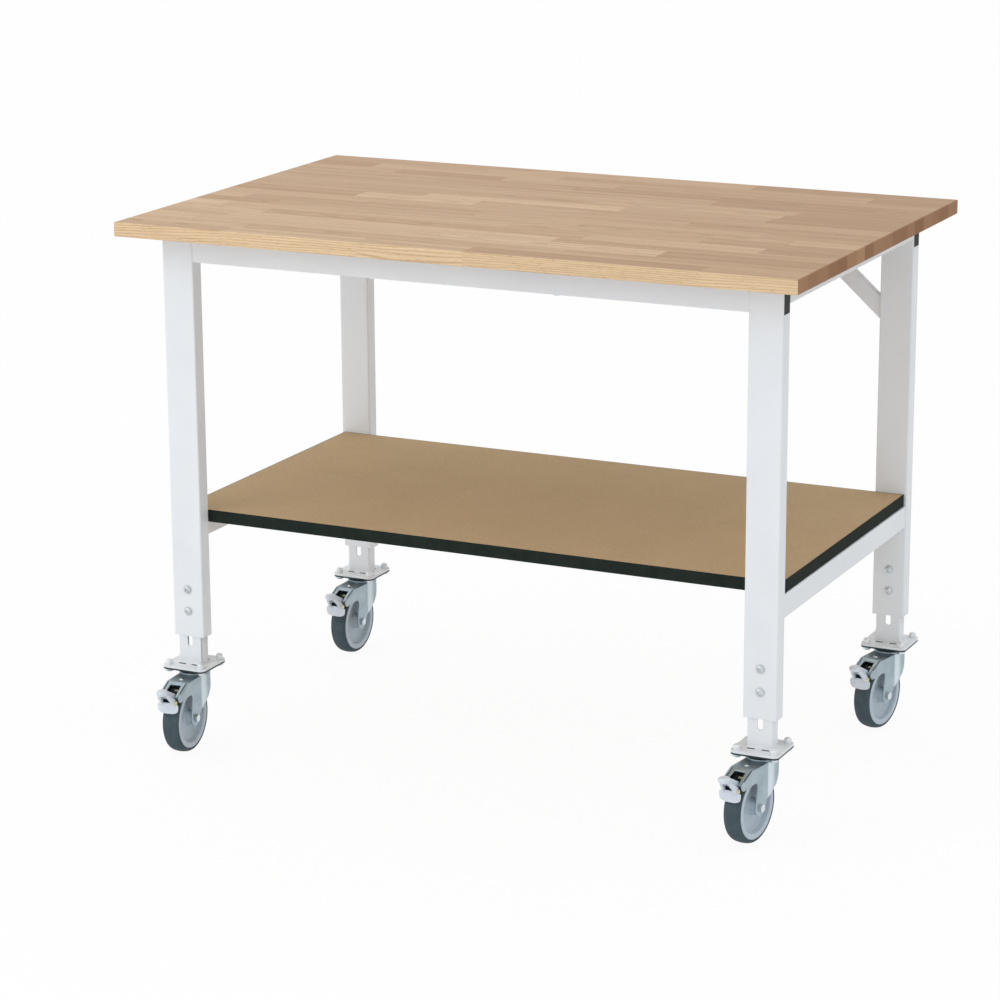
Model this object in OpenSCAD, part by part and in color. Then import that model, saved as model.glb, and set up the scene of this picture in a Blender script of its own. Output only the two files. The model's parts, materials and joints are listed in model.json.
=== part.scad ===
// Mobile workbench: a solid wood worktop on a steel frame with height-adjustable
// feet, a lower shelf and four braked swivel casters.
// Millimetres. +X is to the right, +Y to the rear, +Z up, and Z = 0 is the floor.

/* [Worktop] */
// Width of the worktop, left to right
top_w = 1250; // [1000:50:2000]
// Depth of the worktop, front to rear
top_d = 800; // [600:50:1000]
// Thickness of the worktop
top_t = 25; // [20:1:40]
// Height of the worktop's upper face above the floor
bench_h = 960; // [800:10:1160]

/* [Frame] */
// How far the worktop stands out past the legs at each end
overhang_x = 50; // [20:1:120]
// How far the front legs stand back from the worktop's front edge
setback_front = 73; // [40:1:120]
// How far the rear legs stand in from the worktop's rear edge
setback_rear = 57; // [40:1:120]
// Width of a leg tube
leg_w = 60; // [56:1:80]
// Depth of a leg tube
leg_d = 30; // [29:1:40]
// Wall thickness of every steel tube
tube_wall = 2; // [1:0.5:3]
// Outer corner radius of a leg tube
leg_corner_r = 3; // [2.5:0.5:4]
// Height of the front and rear rails
rail_h = 50; // [35:1:70]
// Height of the side rails under the worktop
side_rail_h = 35; // [20:1:50]
// Width of the side rails under the worktop
side_rail_w = 30; // [20:1:40]
// Height of the rails that carry the shelf
shelf_rail_h = 40; // [25:1:60]
// Width of the rails that carry the shelf
shelf_rail_w = 25; // [15:1:40]
// How far the shelf rails' outer sides stand in from the legs' outer sides
shelf_rail_inset = 2; // [0:0.5:10]
// Thickness of the flange on a rail's end cap
cap_t = 3; // [2:0.5:4]

/* [Braces] */
// Height of a knee brace's section, across its slope
brace_h = 30; // [20:1:40]
// Depth of a knee brace's section
brace_d = 15; // [10:1:20]
// How far below the rear rail a brace's centre line meets the leg
brace_drop = 116; // [80:1:200]
// How far along the rear rail a brace's centre line reaches
brace_reach = 130; // [80:1:200]

/* [Shelf] */
// Height of the shelf's upper face, as a share of the way up the legs
shelf_share = 0.315; // [0.3:0.005:0.7]
// Thickness of the shelf
shelf_t = 22; // [16:1:30]
// Gap between the shelf's edge and the legs
shelf_leg_gap = 0.3; // [0.1:0.1:0.8]
// How far the shelf's ends stand in from the legs' outer sides
shelf_inset = 5; // [0:1:20]
// Thickness of the band around the shelf
band_t = 2; // [1:0.5:4]

/* [Feet] */
// Width of the inner foot tube
foot_w = 46; // [36:1:50]
// Sliding gap between the foot tube and the leg, front and rear
foot_gap = 0.5; // [0.3:0.1:0.9]
// Length of foot tube that shows below the leg
foot_show = 51; // [50:1:80]
// How far the foot can be drawn out of the leg from here
draw_out = 100; // [40:5:120]
// Side of the square foot plate and of the caster plate
plate_w = 85; // [80:1:100]
// Corner radius of both plates
plate_r = 10; // [4:1:14]
// Thickness of the foot plate
foot_plate_t = 4; // [3:0.5:6]
// Distance between the plate bolts, along both sides
plate_pitch = 65; // [60:1:74]
// Distance between the two leg bolts
leg_bolt_pitch = 40; // [30:1:60]
// Height of the lower leg bolt above the leg's lower end
leg_bolt_rise = 47; // [40:1:60]
// Width of the slot that the leg bolts pass through
slot_w = 10; // [9:0.5:14]
// Length of slot that shows below the leg
slot_show = 19; // [0:1:30]

/* [Casters] */
// Wheel diameter over the tyre
wheel_d = 125; // [115:1:150]
// Width of the tyre
tyre_w = 32; // [24:1:34]
// Thickness of the tyre's tread
tread_t = 7.5; // [5:0.5:10]
// Distance from the swivel axis to the axle
trail = 41.8; // [38:0.1:50]
// Swivel angle of each caster at rest: front left, front right, rear left, rear right
caster_turn = [4, -8, -1, -10]; // [-180:1:180]
// Thickness of the fork's steel sheet
fork_t = 3; // [2:0.5:4]
// Gap between the fork's inner faces
fork_gap = 37; // [36:1:44]
// Outer radius of the fork's round head
head_r = 28; // [26:0.5:34]
// Gap between the tyre and the underside of the fork's head
head_clear = 7; // [5:0.5:15]
// Thickness of the caster plate
caster_plate_t = 3; // [2.5:0.5:5]
// Height of the swivel's fixed upper race
race_h = 8.2; // [6:0.1:12]
// Radius of the swivel's fixed upper race
race_r = 24; // [18:0.5:26]
// Thickness of the swivel ring on the fork
ring_t = 3.5; // [2:0.5:5]
// Radius of the kingpin
kingpin_r = 6; // [4:0.5:8]

/* [Brake pedal] */
// Width of the pedal's lower apron
apron_w = 41; // [30:1:46]
// Radius of the pedal's upper lobe
lobe_r = 10.8; // [8:0.1:16]
// How far the lobe's centre lies in front of the pedal's pin
lobe_reach = 30; // [22:1:40]
// Thickness of the pedal's plastic
pedal_t = 4; // [3:0.5:5]

/* [Fasteners] */
// Radius of the M8 bolts and of the wheel's axle
bolt_r = 4; // [3:0.5:4]
// Radial clearance of a bolt or pin in its hole
hole_clear = 0.05; // [0.02:0.01:0.1]
// Distance across the flats of an M8 hexagon
hex_af = 13; // [12:0.5:14]
// Height of an M8 hexagon head
hex_h = 5.3; // [4:0.1:7]
// Radius of a wood screw's shank
screw_r = 2.5; // [2:0.1:3]
// Depth of a wood screw in the board that it holds
screw_grip = 14; // [8:1:16]

/* [Hidden] */
$fn = 48;
CORNER = ["fl", "fr", "rl", "rr"];
SIDE_X = [-1, 1, -1, 1];

eps = 0.01;
run_gap = 0.3;
bend_r_min = 0.5;
screw_inset = 60;
screw_head_h = 3;
nut_h = 6.5;

// Colours
STEEL_WHITE = [0.87, 0.88, 0.89];
BEECH = [0.80, 0.64, 0.47];
FIBREBOARD = [0.69, 0.60, 0.48];
BLACK = [0.16, 0.19, 0.17];
ZINC = [0.64, 0.70, 0.73];
YELLOW_ZINC = [0.78, 0.73, 0.50];
GREY_PLASTIC = [0.62, 0.66, 0.70];
PALE_PLASTIC = [0.80, 0.83, 0.86];
TYRE_GREY = [0.28, 0.35, 0.38];

// Caster heights, from the floor up
wheel_r = wheel_d / 2;
fork_top = wheel_d + head_clear + fork_t;
fork_under = fork_top - fork_t;
ring_top = fork_top + ring_t;
plate_under = ring_top + run_gap + race_h;
joint_z = plate_under + caster_plate_t;
foot_top = joint_z + foot_plate_t;

// Fork and pedal, seen along the axle. Places are [behind the axle, above the axle]
cheek_x = fork_gap / 2 + fork_t;
head_under_a = fork_under - wheel_r;
head_top_a = fork_top - wheel_r;
boss_r = 15;
throat_r = 9;
pivot_angle = 44.5;
pivot_clear = 13.2;
pivot = (wheel_r + pivot_clear) * [-cos(pivot_angle), sin(pivot_angle)];
pivot_boss_r = 8;
throat_top = pivot[1] - 6;
waist = [32, 21];
pedal_pin_r = 3;
pedal_hub_r = 6.5;
cover_top_y = -25;
cover_end = pivot + [-6, 3.5];
cover_t = 2.5;
window_y0 = cover_top_y - 6;
window_w = 24;
neck_w = 20;
apron_y = pivot[0] - pivot_boss_r - 1;
apron_z0 = pivot[1] - 27;
apron_z1 = pivot[1] - 7;
lobe_y = pivot[0] - lobe_reach;
lobe_z0 = pivot[1] + 12.5;
shoe_t = 1.6;
shoe_w = 24;
shoe_h = apron_z1 - apron_z0 - 10;
cheek_end_y = -sqrt(pow(head_r, 2) - pow(cheek_x, 2));

// Frame heights
leg_z0 = foot_top + foot_show;
leg_z1 = bench_h - top_t;
shelf_z1 = leg_z0 + shelf_share * (leg_z1 - leg_z0);
shelf_z0 = shelf_z1 - shelf_t;
bolt_z = [leg_z0 + leg_bolt_rise, leg_z0 + leg_bolt_rise + leg_bolt_pitch];
slot_z0 = leg_z0 - slot_show;
slot_z1 = bolt_z[1] + bolt_r + draw_out;
foot_z1 = slot_z1 + slot_w * 3;

// Plan: the origin is below the middle of the whole bench, pedals included
pedal_front = (trail - lobe_y) * max(cos(caster_turn[0]), cos(caster_turn[1])) + lobe_r;
pedal_stand_out = round(100 * (pedal_front - setback_front - leg_d / 2)) / 100;
top_y0 = (pedal_stand_out - top_d) / 2;
top_y1 = top_y0 + top_d;
leg_out_x = top_w / 2 - overhang_x;
leg_in_x = leg_out_x - leg_w;
leg_x = leg_out_x - leg_w / 2;
front_leg_y = top_y0 + setback_front + leg_d / 2;
rear_leg_y = top_y1 - setback_rear - leg_d / 2;
LEG_Y = [front_leg_y, front_leg_y, rear_leg_y, rear_leg_y];
bay_y0 = front_leg_y + leg_d / 2;
bay_y1 = rear_leg_y - leg_d / 2;
cavity_d = leg_d - 2 * tube_wall;
foot_d = cavity_d - 2 * foot_gap;
shelf_x = leg_out_x - shelf_inset;
shelf_rail_x = leg_out_x - shelf_rail_inset - shelf_rail_w / 2;
side_rail_x = leg_out_x - side_rail_w / 2;

// ---------- helpers ----------

module rounded_rect(w, d, r) {
    square([w - 2 * r, d], center = true);
    square([w, d - 2 * r], center = true);
    for (x = [-1, 1], y = [-1, 1])
        translate([x * (w / 2 - r), y * (d / 2 - r)]) circle(r);
}

// Rectangular tube along Z, standing on the XY plane
module upright_tube(w, d, r, h) {
    linear_extrude(h) difference() {
        rounded_rect(w, d, r);
        rounded_rect(w - 2 * tube_wall, d - 2 * tube_wall, max(r - tube_wall, bend_r_min));
    }
}

// Square-cornered tube of size [x, y, z], open at both ends of the named axis
module box_tube(size, along) {
    bore = [for (i = [0:2]) i == along ? size[i] + 2 : size[i] - 2 * tube_wall];
    difference() {
        cube(size, center = true);
        cube(bore, center = true);
    }
}

// Extrudes an outline drawn in [Y, Z] along X, centred
module across(w) {
    rotate([90, 0, 90]) linear_extrude(w, center = true) children();
}

module hexagon(af, h) {
    cylinder(h = h, r = af / 2 / cos(30), $fn = 6);
}

module at_corner(i) {
    translate([SIDE_X[i] * leg_x, LEG_Y[i], 0]) children();
}

module at_caster(i) {
    at_corner(i) rotate([0, 0, caster_turn[i]]) children();
}

// Places what is drawn about the caster's own axle
module at_axle(i) {
    at_caster(i) translate([0, -trail, wheel_r]) children();
}

module plate_outline() {
    rounded_rect(plate_w, plate_w, plate_r);
}

module at_plate_bolts() {
    for (x = [-1, 1], y = [-1, 1])
        translate([x * plate_pitch / 2, y * plate_pitch / 2, 0]) children();
}

module plate_holes(z0, h) {
    at_plate_bolts() translate([0, 0, z0 - 1]) cylinder(h = h + 2, r = bolt_r + hole_clear);
}

// Where wood screws go up through the rails into the worktop: [x, y, underside of the rail]
TOP_SCREWS = concat(
    [for (s = [-1, 1], y = [bay_y0 + screw_inset, bay_y1 - screw_inset])
        [s * side_rail_x, y, leg_z1 - side_rail_h]],
    [for (x = [-1, 1] * leg_in_x / 3, y = [front_leg_y, rear_leg_y])
        [x, y, leg_z1 - rail_h]]);
SHELF_SCREWS = [for (s = [-1, 1], y = [bay_y0 + screw_inset, bay_y1 - screw_inset])
    [s * shelf_rail_x, y, shelf_z0 - shelf_rail_h]];

module wood_screws(places, board_z) {
    for (p = places) translate(p) {
        translate([0, 0, -screw_head_h]) cylinder(h = screw_head_h, r = 2 * screw_r);
        cylinder(h = board_z - p[2] + screw_grip, r = screw_r);
    }
}

module screw_holes(places, board_z) {
    for (p = places) translate([p[0], p[1], p[2] - 1])
        cylinder(h = board_z - p[2] + screw_grip + 1 + hole_clear, r = screw_r + hole_clear);
}

// ---------- worktop and frame ----------

module tabletop() {
    color(BEECH) difference() {
        translate([-top_w / 2, top_y0, leg_z1]) cube([top_w, top_d, top_t]);
        screw_holes(TOP_SCREWS, leg_z1);
    }
}

// A rail that runs through the heads of two legs
module long_rail(y) {
    color(STEEL_WHITE) difference() {
        translate([0, y, leg_z1 - rail_h / 2])
            box_tube([2 * (leg_out_x - cap_t), cavity_d, rail_h], 0);
        screw_holes(TOP_SCREWS, leg_z1);
    }
}

module front_rail() { long_rail(front_leg_y); }

module rear_rail() { long_rail(rear_leg_y); }

module top_rail(side) {
    color(STEEL_WHITE) difference() {
        translate([side * side_rail_x, (bay_y0 + bay_y1) / 2, leg_z1 - side_rail_h / 2])
            box_tube([side_rail_w, bay_y1 - bay_y0, side_rail_h], 1);
        screw_holes(TOP_SCREWS, leg_z1);
    }
}

module shelf_rail(side) {
    color(STEEL_WHITE) difference() {
        translate([side * shelf_rail_x, (bay_y0 + bay_y1) / 2, shelf_z0 - shelf_rail_h / 2])
            box_tube([shelf_rail_w, bay_y1 - bay_y0, shelf_rail_h], 1);
        screw_holes(SHELF_SCREWS, shelf_z0);
    }
}

// Knee brace from a rear leg's inner side up to the rear rail
module brace(side) {
    rail_z = leg_z1 - rail_h;
    slope = atan2(brace_drop, brace_reach);
    length = 2 * norm([brace_drop, brace_reach]);
    mid = [leg_in_x - brace_reach / 2, rear_leg_y, rail_z - brace_drop / 2];
    color(STEEL_WHITE) mirror([side < 0 ? 1 : 0, 0, 0]) intersection() {
        translate(mid) rotate([0, slope, 0]) box_tube([length, brace_d, brace_h], 0);
        translate([0, rear_leg_y - leg_d, rail_z - 3 * brace_drop])
            cube([leg_in_x, 2 * leg_d, 3 * brace_drop]);
    }
}

// Plugs that close the long rails, flush with the legs' outer sides
module rail_end_caps() {
    plug_l = 10;
    plug_gap = 0.2;
    color(BLACK) for (s = [-1, 1], y = [front_leg_y, rear_leg_y])
        translate([s * (leg_out_x - cap_t), y, leg_z1 - rail_h / 2]) mirror([s < 0 ? 1 : 0, 0, 0]) {
            translate([cap_t / 2, 0, 0]) cube([cap_t, cavity_d, rail_h], center = true);
            translate([-plug_l / 2, 0, 0])
                cube([plug_l, cavity_d - 2 * (tube_wall + plug_gap),
                      rail_h - 2 * (tube_wall + plug_gap)], center = true);
        }
}

module tabletop_screws() {
    color(ZINC) wood_screws(TOP_SCREWS, leg_z1);
}

module outer_leg(i) {
    color(STEEL_WHITE) at_corner(i) difference() {
        translate([0, 0, leg_z0]) upright_tube(leg_w, leg_d, leg_corner_r, leg_z1 - leg_z0);
        // the rail's way through the leg's head
        translate([0, 0, leg_z1 - rail_h / 2])
            cube([leg_w + 2, cavity_d, rail_h + eps], center = true);
        for (z = bolt_z) translate([0, 0, z]) rotate([90, 0, 0])
            cylinder(h = leg_d + 2, r = bolt_r + hole_clear, center = true);
    }
}

// ---------- shelf ----------

// The shelf's outline drawn in by inset, reaching past its faces by over
module shelf_slab(inset, over = 0) {
    x = shelf_x - inset;
    y0 = bay_y0 + shelf_leg_gap + inset;
    y1 = bay_y1 - shelf_leg_gap - inset;
    translate([-x, y0, shelf_z0 - over]) cube([2 * x, y1 - y0, shelf_t + 2 * over]);
}

module shelf_board() {
    color(FIBREBOARD) difference() {
        shelf_slab(band_t);
        screw_holes(SHELF_SCREWS, shelf_z0);
    }
}

module shelf_edge_band() {
    color(BLACK) difference() {
        shelf_slab(0);
        shelf_slab(band_t, 1);
    }
}

module shelf_screws() {
    color(ZINC) wood_screws(SHELF_SCREWS, shelf_z0);
}

// ---------- leg clamping bolts ----------

// Button-head bolts with a washer, pushed through leg and foot tube from the front
module leg_bolts() {
    washer_t = 1.5;
    head_h = 4;
    head_low_r = 7;
    head_top_r = 5;
    socket = 5;
    socket_h = 2.5;
    tail = nut_h + 1.5;
    front = leg_d / 2;
    color(ZINC) for (i = [0:3], z = bolt_z) at_corner(i) translate([0, 0, z]) rotate([90, 0, 0])
        difference() {
            union() {
                translate([0, 0, front]) cylinder(h = washer_t, r = 2 * bolt_r);
                translate([0, 0, front + washer_t]) cylinder(h = head_h, r1 = head_low_r, r2 = head_top_r);
                translate([0, 0, -front - tail]) cylinder(h = leg_d + tail, r = bolt_r);
            }
            translate([0, 0, front + washer_t + head_h - socket_h]) hexagon(socket, socket_h + 1);
        }
}

module leg_nuts() {
    color(ZINC) for (i = [0:3], z = bolt_z) at_corner(i)
        translate([0, leg_d / 2, z]) rotate([-90, 0, 0]) difference() {
            hexagon(hex_af, nut_h);
            translate([0, 0, -1]) cylinder(h = nut_h + 2, r = bolt_r + hole_clear);
        }
}

// ---------- feet ----------

module foot(i) {
    short_slot = [14, 5, 2 * foot_plate_t + 2];
    short_x = 13;
    short_y = foot_d / 2 + 7;
    lip_w = 6;
    back_w = foot_w - 2 * lip_w;
    color(STEEL_WHITE) at_corner(i) difference() {
        union() {
            translate([0, 0, foot_top - eps])
                upright_tube(foot_w, foot_d, leg_corner_r, foot_z1 - foot_top + eps);
            translate([0, 0, joint_z]) linear_extrude(foot_plate_t) plate_outline();
        }
        // the foot is a channel, open at the back between two lips
        translate([-back_w / 2, 0, foot_top]) cube([back_w, leg_d, foot_z1]);
        // adjusting slot through the front wall
        rotate([90, 0, 0]) linear_extrude(leg_d) {
            for (z = [slot_z0 + slot_w / 2, slot_z1 - slot_w / 2])
                translate([0, z]) circle(slot_w / 2);
            translate([-slot_w / 2, slot_z0 + slot_w / 2])
                square([slot_w, slot_z1 - slot_z0 - slot_w]);
        }
        plate_holes(joint_z, foot_plate_t);
        // short slots in front of the tube and behind it
        for (x = [-1, 1], y = [-1, 1])
            translate([x * short_x, y * short_y, joint_z]) cube(short_slot, center = true);
    }
}

module caster_plate(i) {
    pin_head_h = 3;
    pin_head_r = kingpin_r + 3;
    pin_z0 = fork_under - run_gap - pin_head_h;
    color(ZINC) at_corner(i) {
        difference() {
            translate([0, 0, plate_under]) linear_extrude(caster_plate_t) plate_outline();
            plate_holes(plate_under, caster_plate_t);
        }
        translate([0, 0, ring_top + run_gap]) cylinder(h = race_h + eps, r = race_r);
        translate([0, 0, pin_z0]) cylinder(h = plate_under - pin_z0, r = kingpin_r);
        translate([0, 0, pin_z0]) cylinder(h = pin_head_h, r = pin_head_r);
    }
}

// Hexagon bolts from below with capped nuts on top
module plate_bolts(i) {
    cap_h = 10;
    cap_r = 6.5;
    cap_round = 2;
    cap_end = 3;
    shank_h = caster_plate_t + foot_plate_t + cap_h - cap_end;
    at_corner(i) at_plate_bolts() {
        color(ZINC) translate([0, 0, plate_under]) {
            translate([0, 0, -hex_h]) hexagon(hex_af, hex_h);
            cylinder(h = shank_h, r = bolt_r);
        }
        color(PALE_PLASTIC) translate([0, 0, foot_top]) difference() {
            rotate_extrude() {
                square([cap_r, cap_h - cap_round]);
                square([cap_r - cap_round, cap_h]);
                translate([cap_r - cap_round, cap_h - cap_round]) circle(cap_round);
            }
            translate([0, 0, -1]) cylinder(h = cap_h - cap_end + 1 + hole_clear, r = bolt_r + hole_clear);
        }
    }
}

// ---------- casters ----------

// Outline of the whole fork, seen along the axle
module fork_side() {
    throat = [-throat_r, throat_top - throat_r];
    difference() {
        union() {
            circle(boss_r);
            translate(pivot) circle(pivot_boss_r);
            polygon([
                [-boss_r, 0], throat, throat + [-throat_r, throat_r],
                pivot - [0, pivot_boss_r],
                cover_end, [cover_top_y, head_top_a],
                [trail + head_r + 1, head_top_a], [trail + head_r + 1, throat_top + 15],
                [trail + head_r / 2, throat_top + 2], waist,
                [boss_r * cos(30), -boss_r / 2]]);
        }
        translate(throat - [throat_r, 0]) circle(throat_r);
    }
}

module fork(i) {
    skirt_h = fork_top - wheel_r + boss_r;
    color(ZINC) at_axle(i) difference() {
        union() {
            intersection() {
                across(2 * head_r + 2) fork_side();
                union() {
                    for (s = [-1, 1])
                        translate([s * (fork_gap + fork_t) / 2, 0, 0])
                            translate([-fork_t / 2, -wheel_d, -boss_r - 1])
                                cube([fork_t, wheel_d + trail + cheek_end_y, wheel_d]);
                    // skirt of the round head, open where the wheel runs
                    difference() {
                        translate([0, trail, -boss_r]) cylinder(h = skirt_h, r = head_r);
                        translate([0, trail, -boss_r - 1]) cylinder(h = skirt_h + 2, r = head_r - fork_t);
                        translate([-fork_gap / 2, trail - 2 * head_r, -boss_r - 1])
                            cube([fork_gap, 2 * head_r, skirt_h + 2]);
                        translate([-cheek_x, trail - 2 * head_r, -boss_r - 1])
                            cube([2 * cheek_x, 2 * head_r + cheek_end_y, skirt_h + 2]);
                    }
                }
            }
            // top plate
            translate([0, trail, head_under_a]) cylinder(h = fork_t, r = head_r);
            translate([-cheek_x, cover_top_y, head_under_a])
                cube([2 * cheek_x, trail - cover_top_y + cheek_end_y, fork_t]);
            // sloping cover with its window
            difference() {
                across(fork_gap + fork_t) polygon([
                    [cover_top_y, head_top_a], cover_end,
                    cover_end - [0, cover_t], [cover_top_y, head_top_a - fork_t]]);
                linear_extrude(wheel_d) polygon([
                    [-window_w / 2 + 2, window_y0], [window_w / 2 - 2, window_y0],
                    [window_w / 2, cover_end[0] - 1], [-window_w / 2, cover_end[0] - 1]]);
            }
            translate([0, pivot[0], pivot[1]]) rotate([0, 90, 0])
                cylinder(h = 2 * cheek_x, r = pedal_pin_r, center = true);
        }
        rotate([0, 90, 0]) cylinder(h = 3 * head_r, r = bolt_r + hole_clear, center = true);
        translate([0, trail, head_under_a - 1])
            cylinder(h = fork_t + 2, r = kingpin_r + hole_clear);
    }
}

module swivel_ring(i) {
    color(ZINC) at_caster(i) translate([0, 0, fork_top]) difference() {
        cylinder(h = ring_t, r = head_r);
        translate([0, 0, -1]) cylinder(h = ring_t + 2, r = kingpin_r + hole_clear);
    }
}

// Axle bolt with its nut
module axle(i) {
    color(ZINC) at_axle(i) rotate([0, 90, 0]) {
        translate([0, 0, cheek_x]) hexagon(hex_af, hex_h);
        translate([0, 0, -cheek_x - nut_h - 1]) cylinder(h = 2 * cheek_x + nut_h + 1, r = bolt_r);
        translate([0, 0, -cheek_x - nut_h]) difference() {
            hexagon(hex_af, nut_h);
            translate([0, 0, -1]) cylinder(h = nut_h + 2, r = bolt_r + hole_clear);
        }
    }
}

// Turns a half outline drawn in [radius, distance along the axle] about the axle
module wheel_turned() {
    rotate([0, 90, 0]) rotate_extrude($fn = 96) children();
}

module rim(i) {
    hub_r = 13;
    hub_x = fork_gap / 2 - 0.5;
    web_x = 4;
    ring_w = 9;
    seat_r = wheel_r - tread_t;
    ring_x = tyre_w / 2 - 0.5;
    half = [[bolt_r + hole_clear, hub_x], [hub_r - 1, hub_x], [hub_r, hub_x - 1],
            [hub_r + 1, web_x], [seat_r - ring_w - 3, web_x], [seat_r - ring_w, ring_x],
            [seat_r, ring_x]];
    count = len(half);
    color(GREY_PLASTIC) at_axle(i) wheel_turned()
        polygon(concat(half, [for (k = [count - 1:-1:0]) [half[k][0], -half[k][1]]]));
}

module tyre(i) {
    seat_r = wheel_r - tread_t;
    edge = tyre_w / 2;
    half = [[seat_r, edge - 0.5], [seat_r + 2, edge], [wheel_r - 3, edge - 0.6],
            [wheel_r - 1.2, edge - 2.6], [wheel_r - 0.3, edge - 6], [wheel_r, edge - 10]];
    count = len(half);
    color(TYRE_GREY) at_axle(i) wheel_turned()
        polygon(concat(half, [for (k = [count - 1:-1:0]) [half[k][0], -half[k][1]]]));
}

// Two-lobed pedal on its pin: a round toe lobe above and a wide apron below
module pedal(i) {
    lobe_t = 2.5 * pedal_t;
    color(PALE_PLASTIC) at_axle(i) difference() {
        union() {
            translate([0, pivot[0], pivot[1]]) rotate([0, 90, 0])
                cylinder(h = neck_w, r = pedal_hub_r, center = true);
            translate([0, lobe_y, lobe_z0]) cylinder(h = lobe_t, r = lobe_r);
            // neck between hub, lobe and apron
            across(neck_w) polygon([
                pivot + [0, pedal_hub_r], [lobe_y, lobe_z0 + lobe_t - 1],
                [lobe_y, lobe_z0], [apron_y - pedal_t, apron_z1],
                [apron_y, apron_z1 - 8], pivot - [pedal_hub_r, 0]]);
            translate([-apron_w / 2, apron_y - pedal_t, apron_z0])
                cube([apron_w, pedal_t, apron_z1 - apron_z0]);
        }
        translate([0, pivot[0], pivot[1]]) rotate([0, 90, 0])
            cylinder(h = neck_w + 2, r = pedal_pin_r + hole_clear, center = true);
    }
}

// Steel shoe on the back of the apron, which bears on the tyre
module brake_shoe(i) {
    shoe_z0 = apron_z0 + 1;
    pad_h = 5;
    tyre_y = -sqrt(pow(wheel_r, 2) - pow(shoe_z0, 2));
    color(YELLOW_ZINC) at_axle(i) union() {
        translate([-shoe_w / 2, apron_y, shoe_z0]) cube([shoe_w, shoe_t, shoe_h]);
        translate([-shoe_w / 2, apron_y, shoe_z0])
            cube([shoe_w, tyre_y - run_gap - apron_y, pad_h]);
    }
}

tabletop();
front_rail();
rear_rail();
top_rail(-1);  // left_top_rail
top_rail(1);  // right_top_rail
shelf_rail(-1);  // left_shelf_rail
shelf_rail(1);  // right_shelf_rail
brace(-1);  // left_brace
brace(1);  // right_brace
rail_end_caps();
tabletop_screws();
shelf_board();
shelf_edge_band();
shelf_screws();
leg_bolts();
leg_nuts();
for (i = [0:3]) {
    outer_leg(i);
    foot(i);
    caster_plate(i);
    plate_bolts(i);
    fork(i);
    swivel_ring(i);
    axle(i);
    rim(i);
    tyre(i);
    pedal(i);
    brake_shoe(i);
}
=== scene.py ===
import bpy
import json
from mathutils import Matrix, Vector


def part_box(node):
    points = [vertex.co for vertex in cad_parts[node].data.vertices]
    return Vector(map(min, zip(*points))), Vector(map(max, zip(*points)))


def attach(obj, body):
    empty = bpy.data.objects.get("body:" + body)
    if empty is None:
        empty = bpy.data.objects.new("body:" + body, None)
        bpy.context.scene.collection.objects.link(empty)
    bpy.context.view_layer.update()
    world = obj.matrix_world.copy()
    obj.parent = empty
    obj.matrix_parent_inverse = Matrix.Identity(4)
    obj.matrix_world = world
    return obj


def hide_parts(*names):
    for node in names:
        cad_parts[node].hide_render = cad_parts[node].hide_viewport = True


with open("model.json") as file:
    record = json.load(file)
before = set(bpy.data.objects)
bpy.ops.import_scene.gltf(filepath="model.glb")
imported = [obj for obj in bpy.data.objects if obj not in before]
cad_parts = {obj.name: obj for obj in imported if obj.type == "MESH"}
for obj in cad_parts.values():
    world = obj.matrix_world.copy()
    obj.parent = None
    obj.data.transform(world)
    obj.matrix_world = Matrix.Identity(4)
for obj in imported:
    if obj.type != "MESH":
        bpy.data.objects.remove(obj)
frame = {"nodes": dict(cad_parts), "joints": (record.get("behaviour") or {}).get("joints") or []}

"""Looks of a mobile workbench: glued beech worktop, powder-coated steel frame, fibreboard shelf,
and four height-adjustable feet on braked swivel casters. Lengths are in millimetres until they
reach a mesh, which is in metres."""

import json
import logging
import math
import random
from dataclasses import dataclass, field
from enum import Enum
from typing import ClassVar

import bmesh
import bpy
from bmesh.types import BMesh, BMVert
from mathutils import Matrix, Vector

MM = 0.001
LOG = logging.getLogger("workbench")
SMOOTH_BELOW = 38.0                                   # degrees, unless a piece asks for more
EASE_ABOVE = math.radians(40)                         # edges flatter than this are not rounded
UPRIGHT = Matrix.Rotation(-math.pi / 2, 4, "Y")       # stands a turned piece's X axis up
COLOURS = {"out": 2, "data_type": "RGBA"}             # a Mix node that mixes colours
WHITE = (1.0, 1.0, 1.0, 1.0)
Point = tuple[float, float, float]
Outline = list[tuple[float, float]]
Shape = BMesh | bpy.types.Mesh
Tree = bpy.types.NodeTree
Socket = bpy.types.NodeSocket


class Corner(Enum):
    """The bench's four corners, by the ending of their pieces' names."""

    FRONT_LEFT = "fl"
    FRONT_RIGHT = "fr"
    REAR_LEFT = "rl"
    REAR_RIGHT = "rr"


class Slot(Enum):
    """The record's material slots."""

    BEECH = "beech"
    WHITE_STEEL = "white_steel"
    FIBREBOARD = "fibreboard"
    BLACK_EDGING = "black_edging"
    BLACK_PLASTIC = "black_plastic"
    FASTENERS = "zinc_fasteners"
    ZINC_SHEET = "zinc_sheet"
    YELLOW_ZINC = "yellow_zinc"
    GREY_RIM = "grey_rim"
    TYRE = "tyre"
    PALE_PLASTIC = "pale_plastic"


# ---------------------------------------------------------------- nodes and colours


def linear(hex_colour: str) -> tuple[float, float, float, float]:
    """Turns an sRGB hex colour into Blender's linear one.

    Args:
        hex_colour: the colour as "#rrggbb".

    Returns:
        Red, green, blue and an alpha of 1.
    """
    parts = [int(hex_colour[i:i + 2], 16) / 255 for i in (1, 3, 5)]
    r, g, b = (c / 12.92 if c <= 0.04045 else ((c + 0.055) / 1.055) ** 2.4 for c in parts)
    return r, g, b, 1.0


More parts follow.
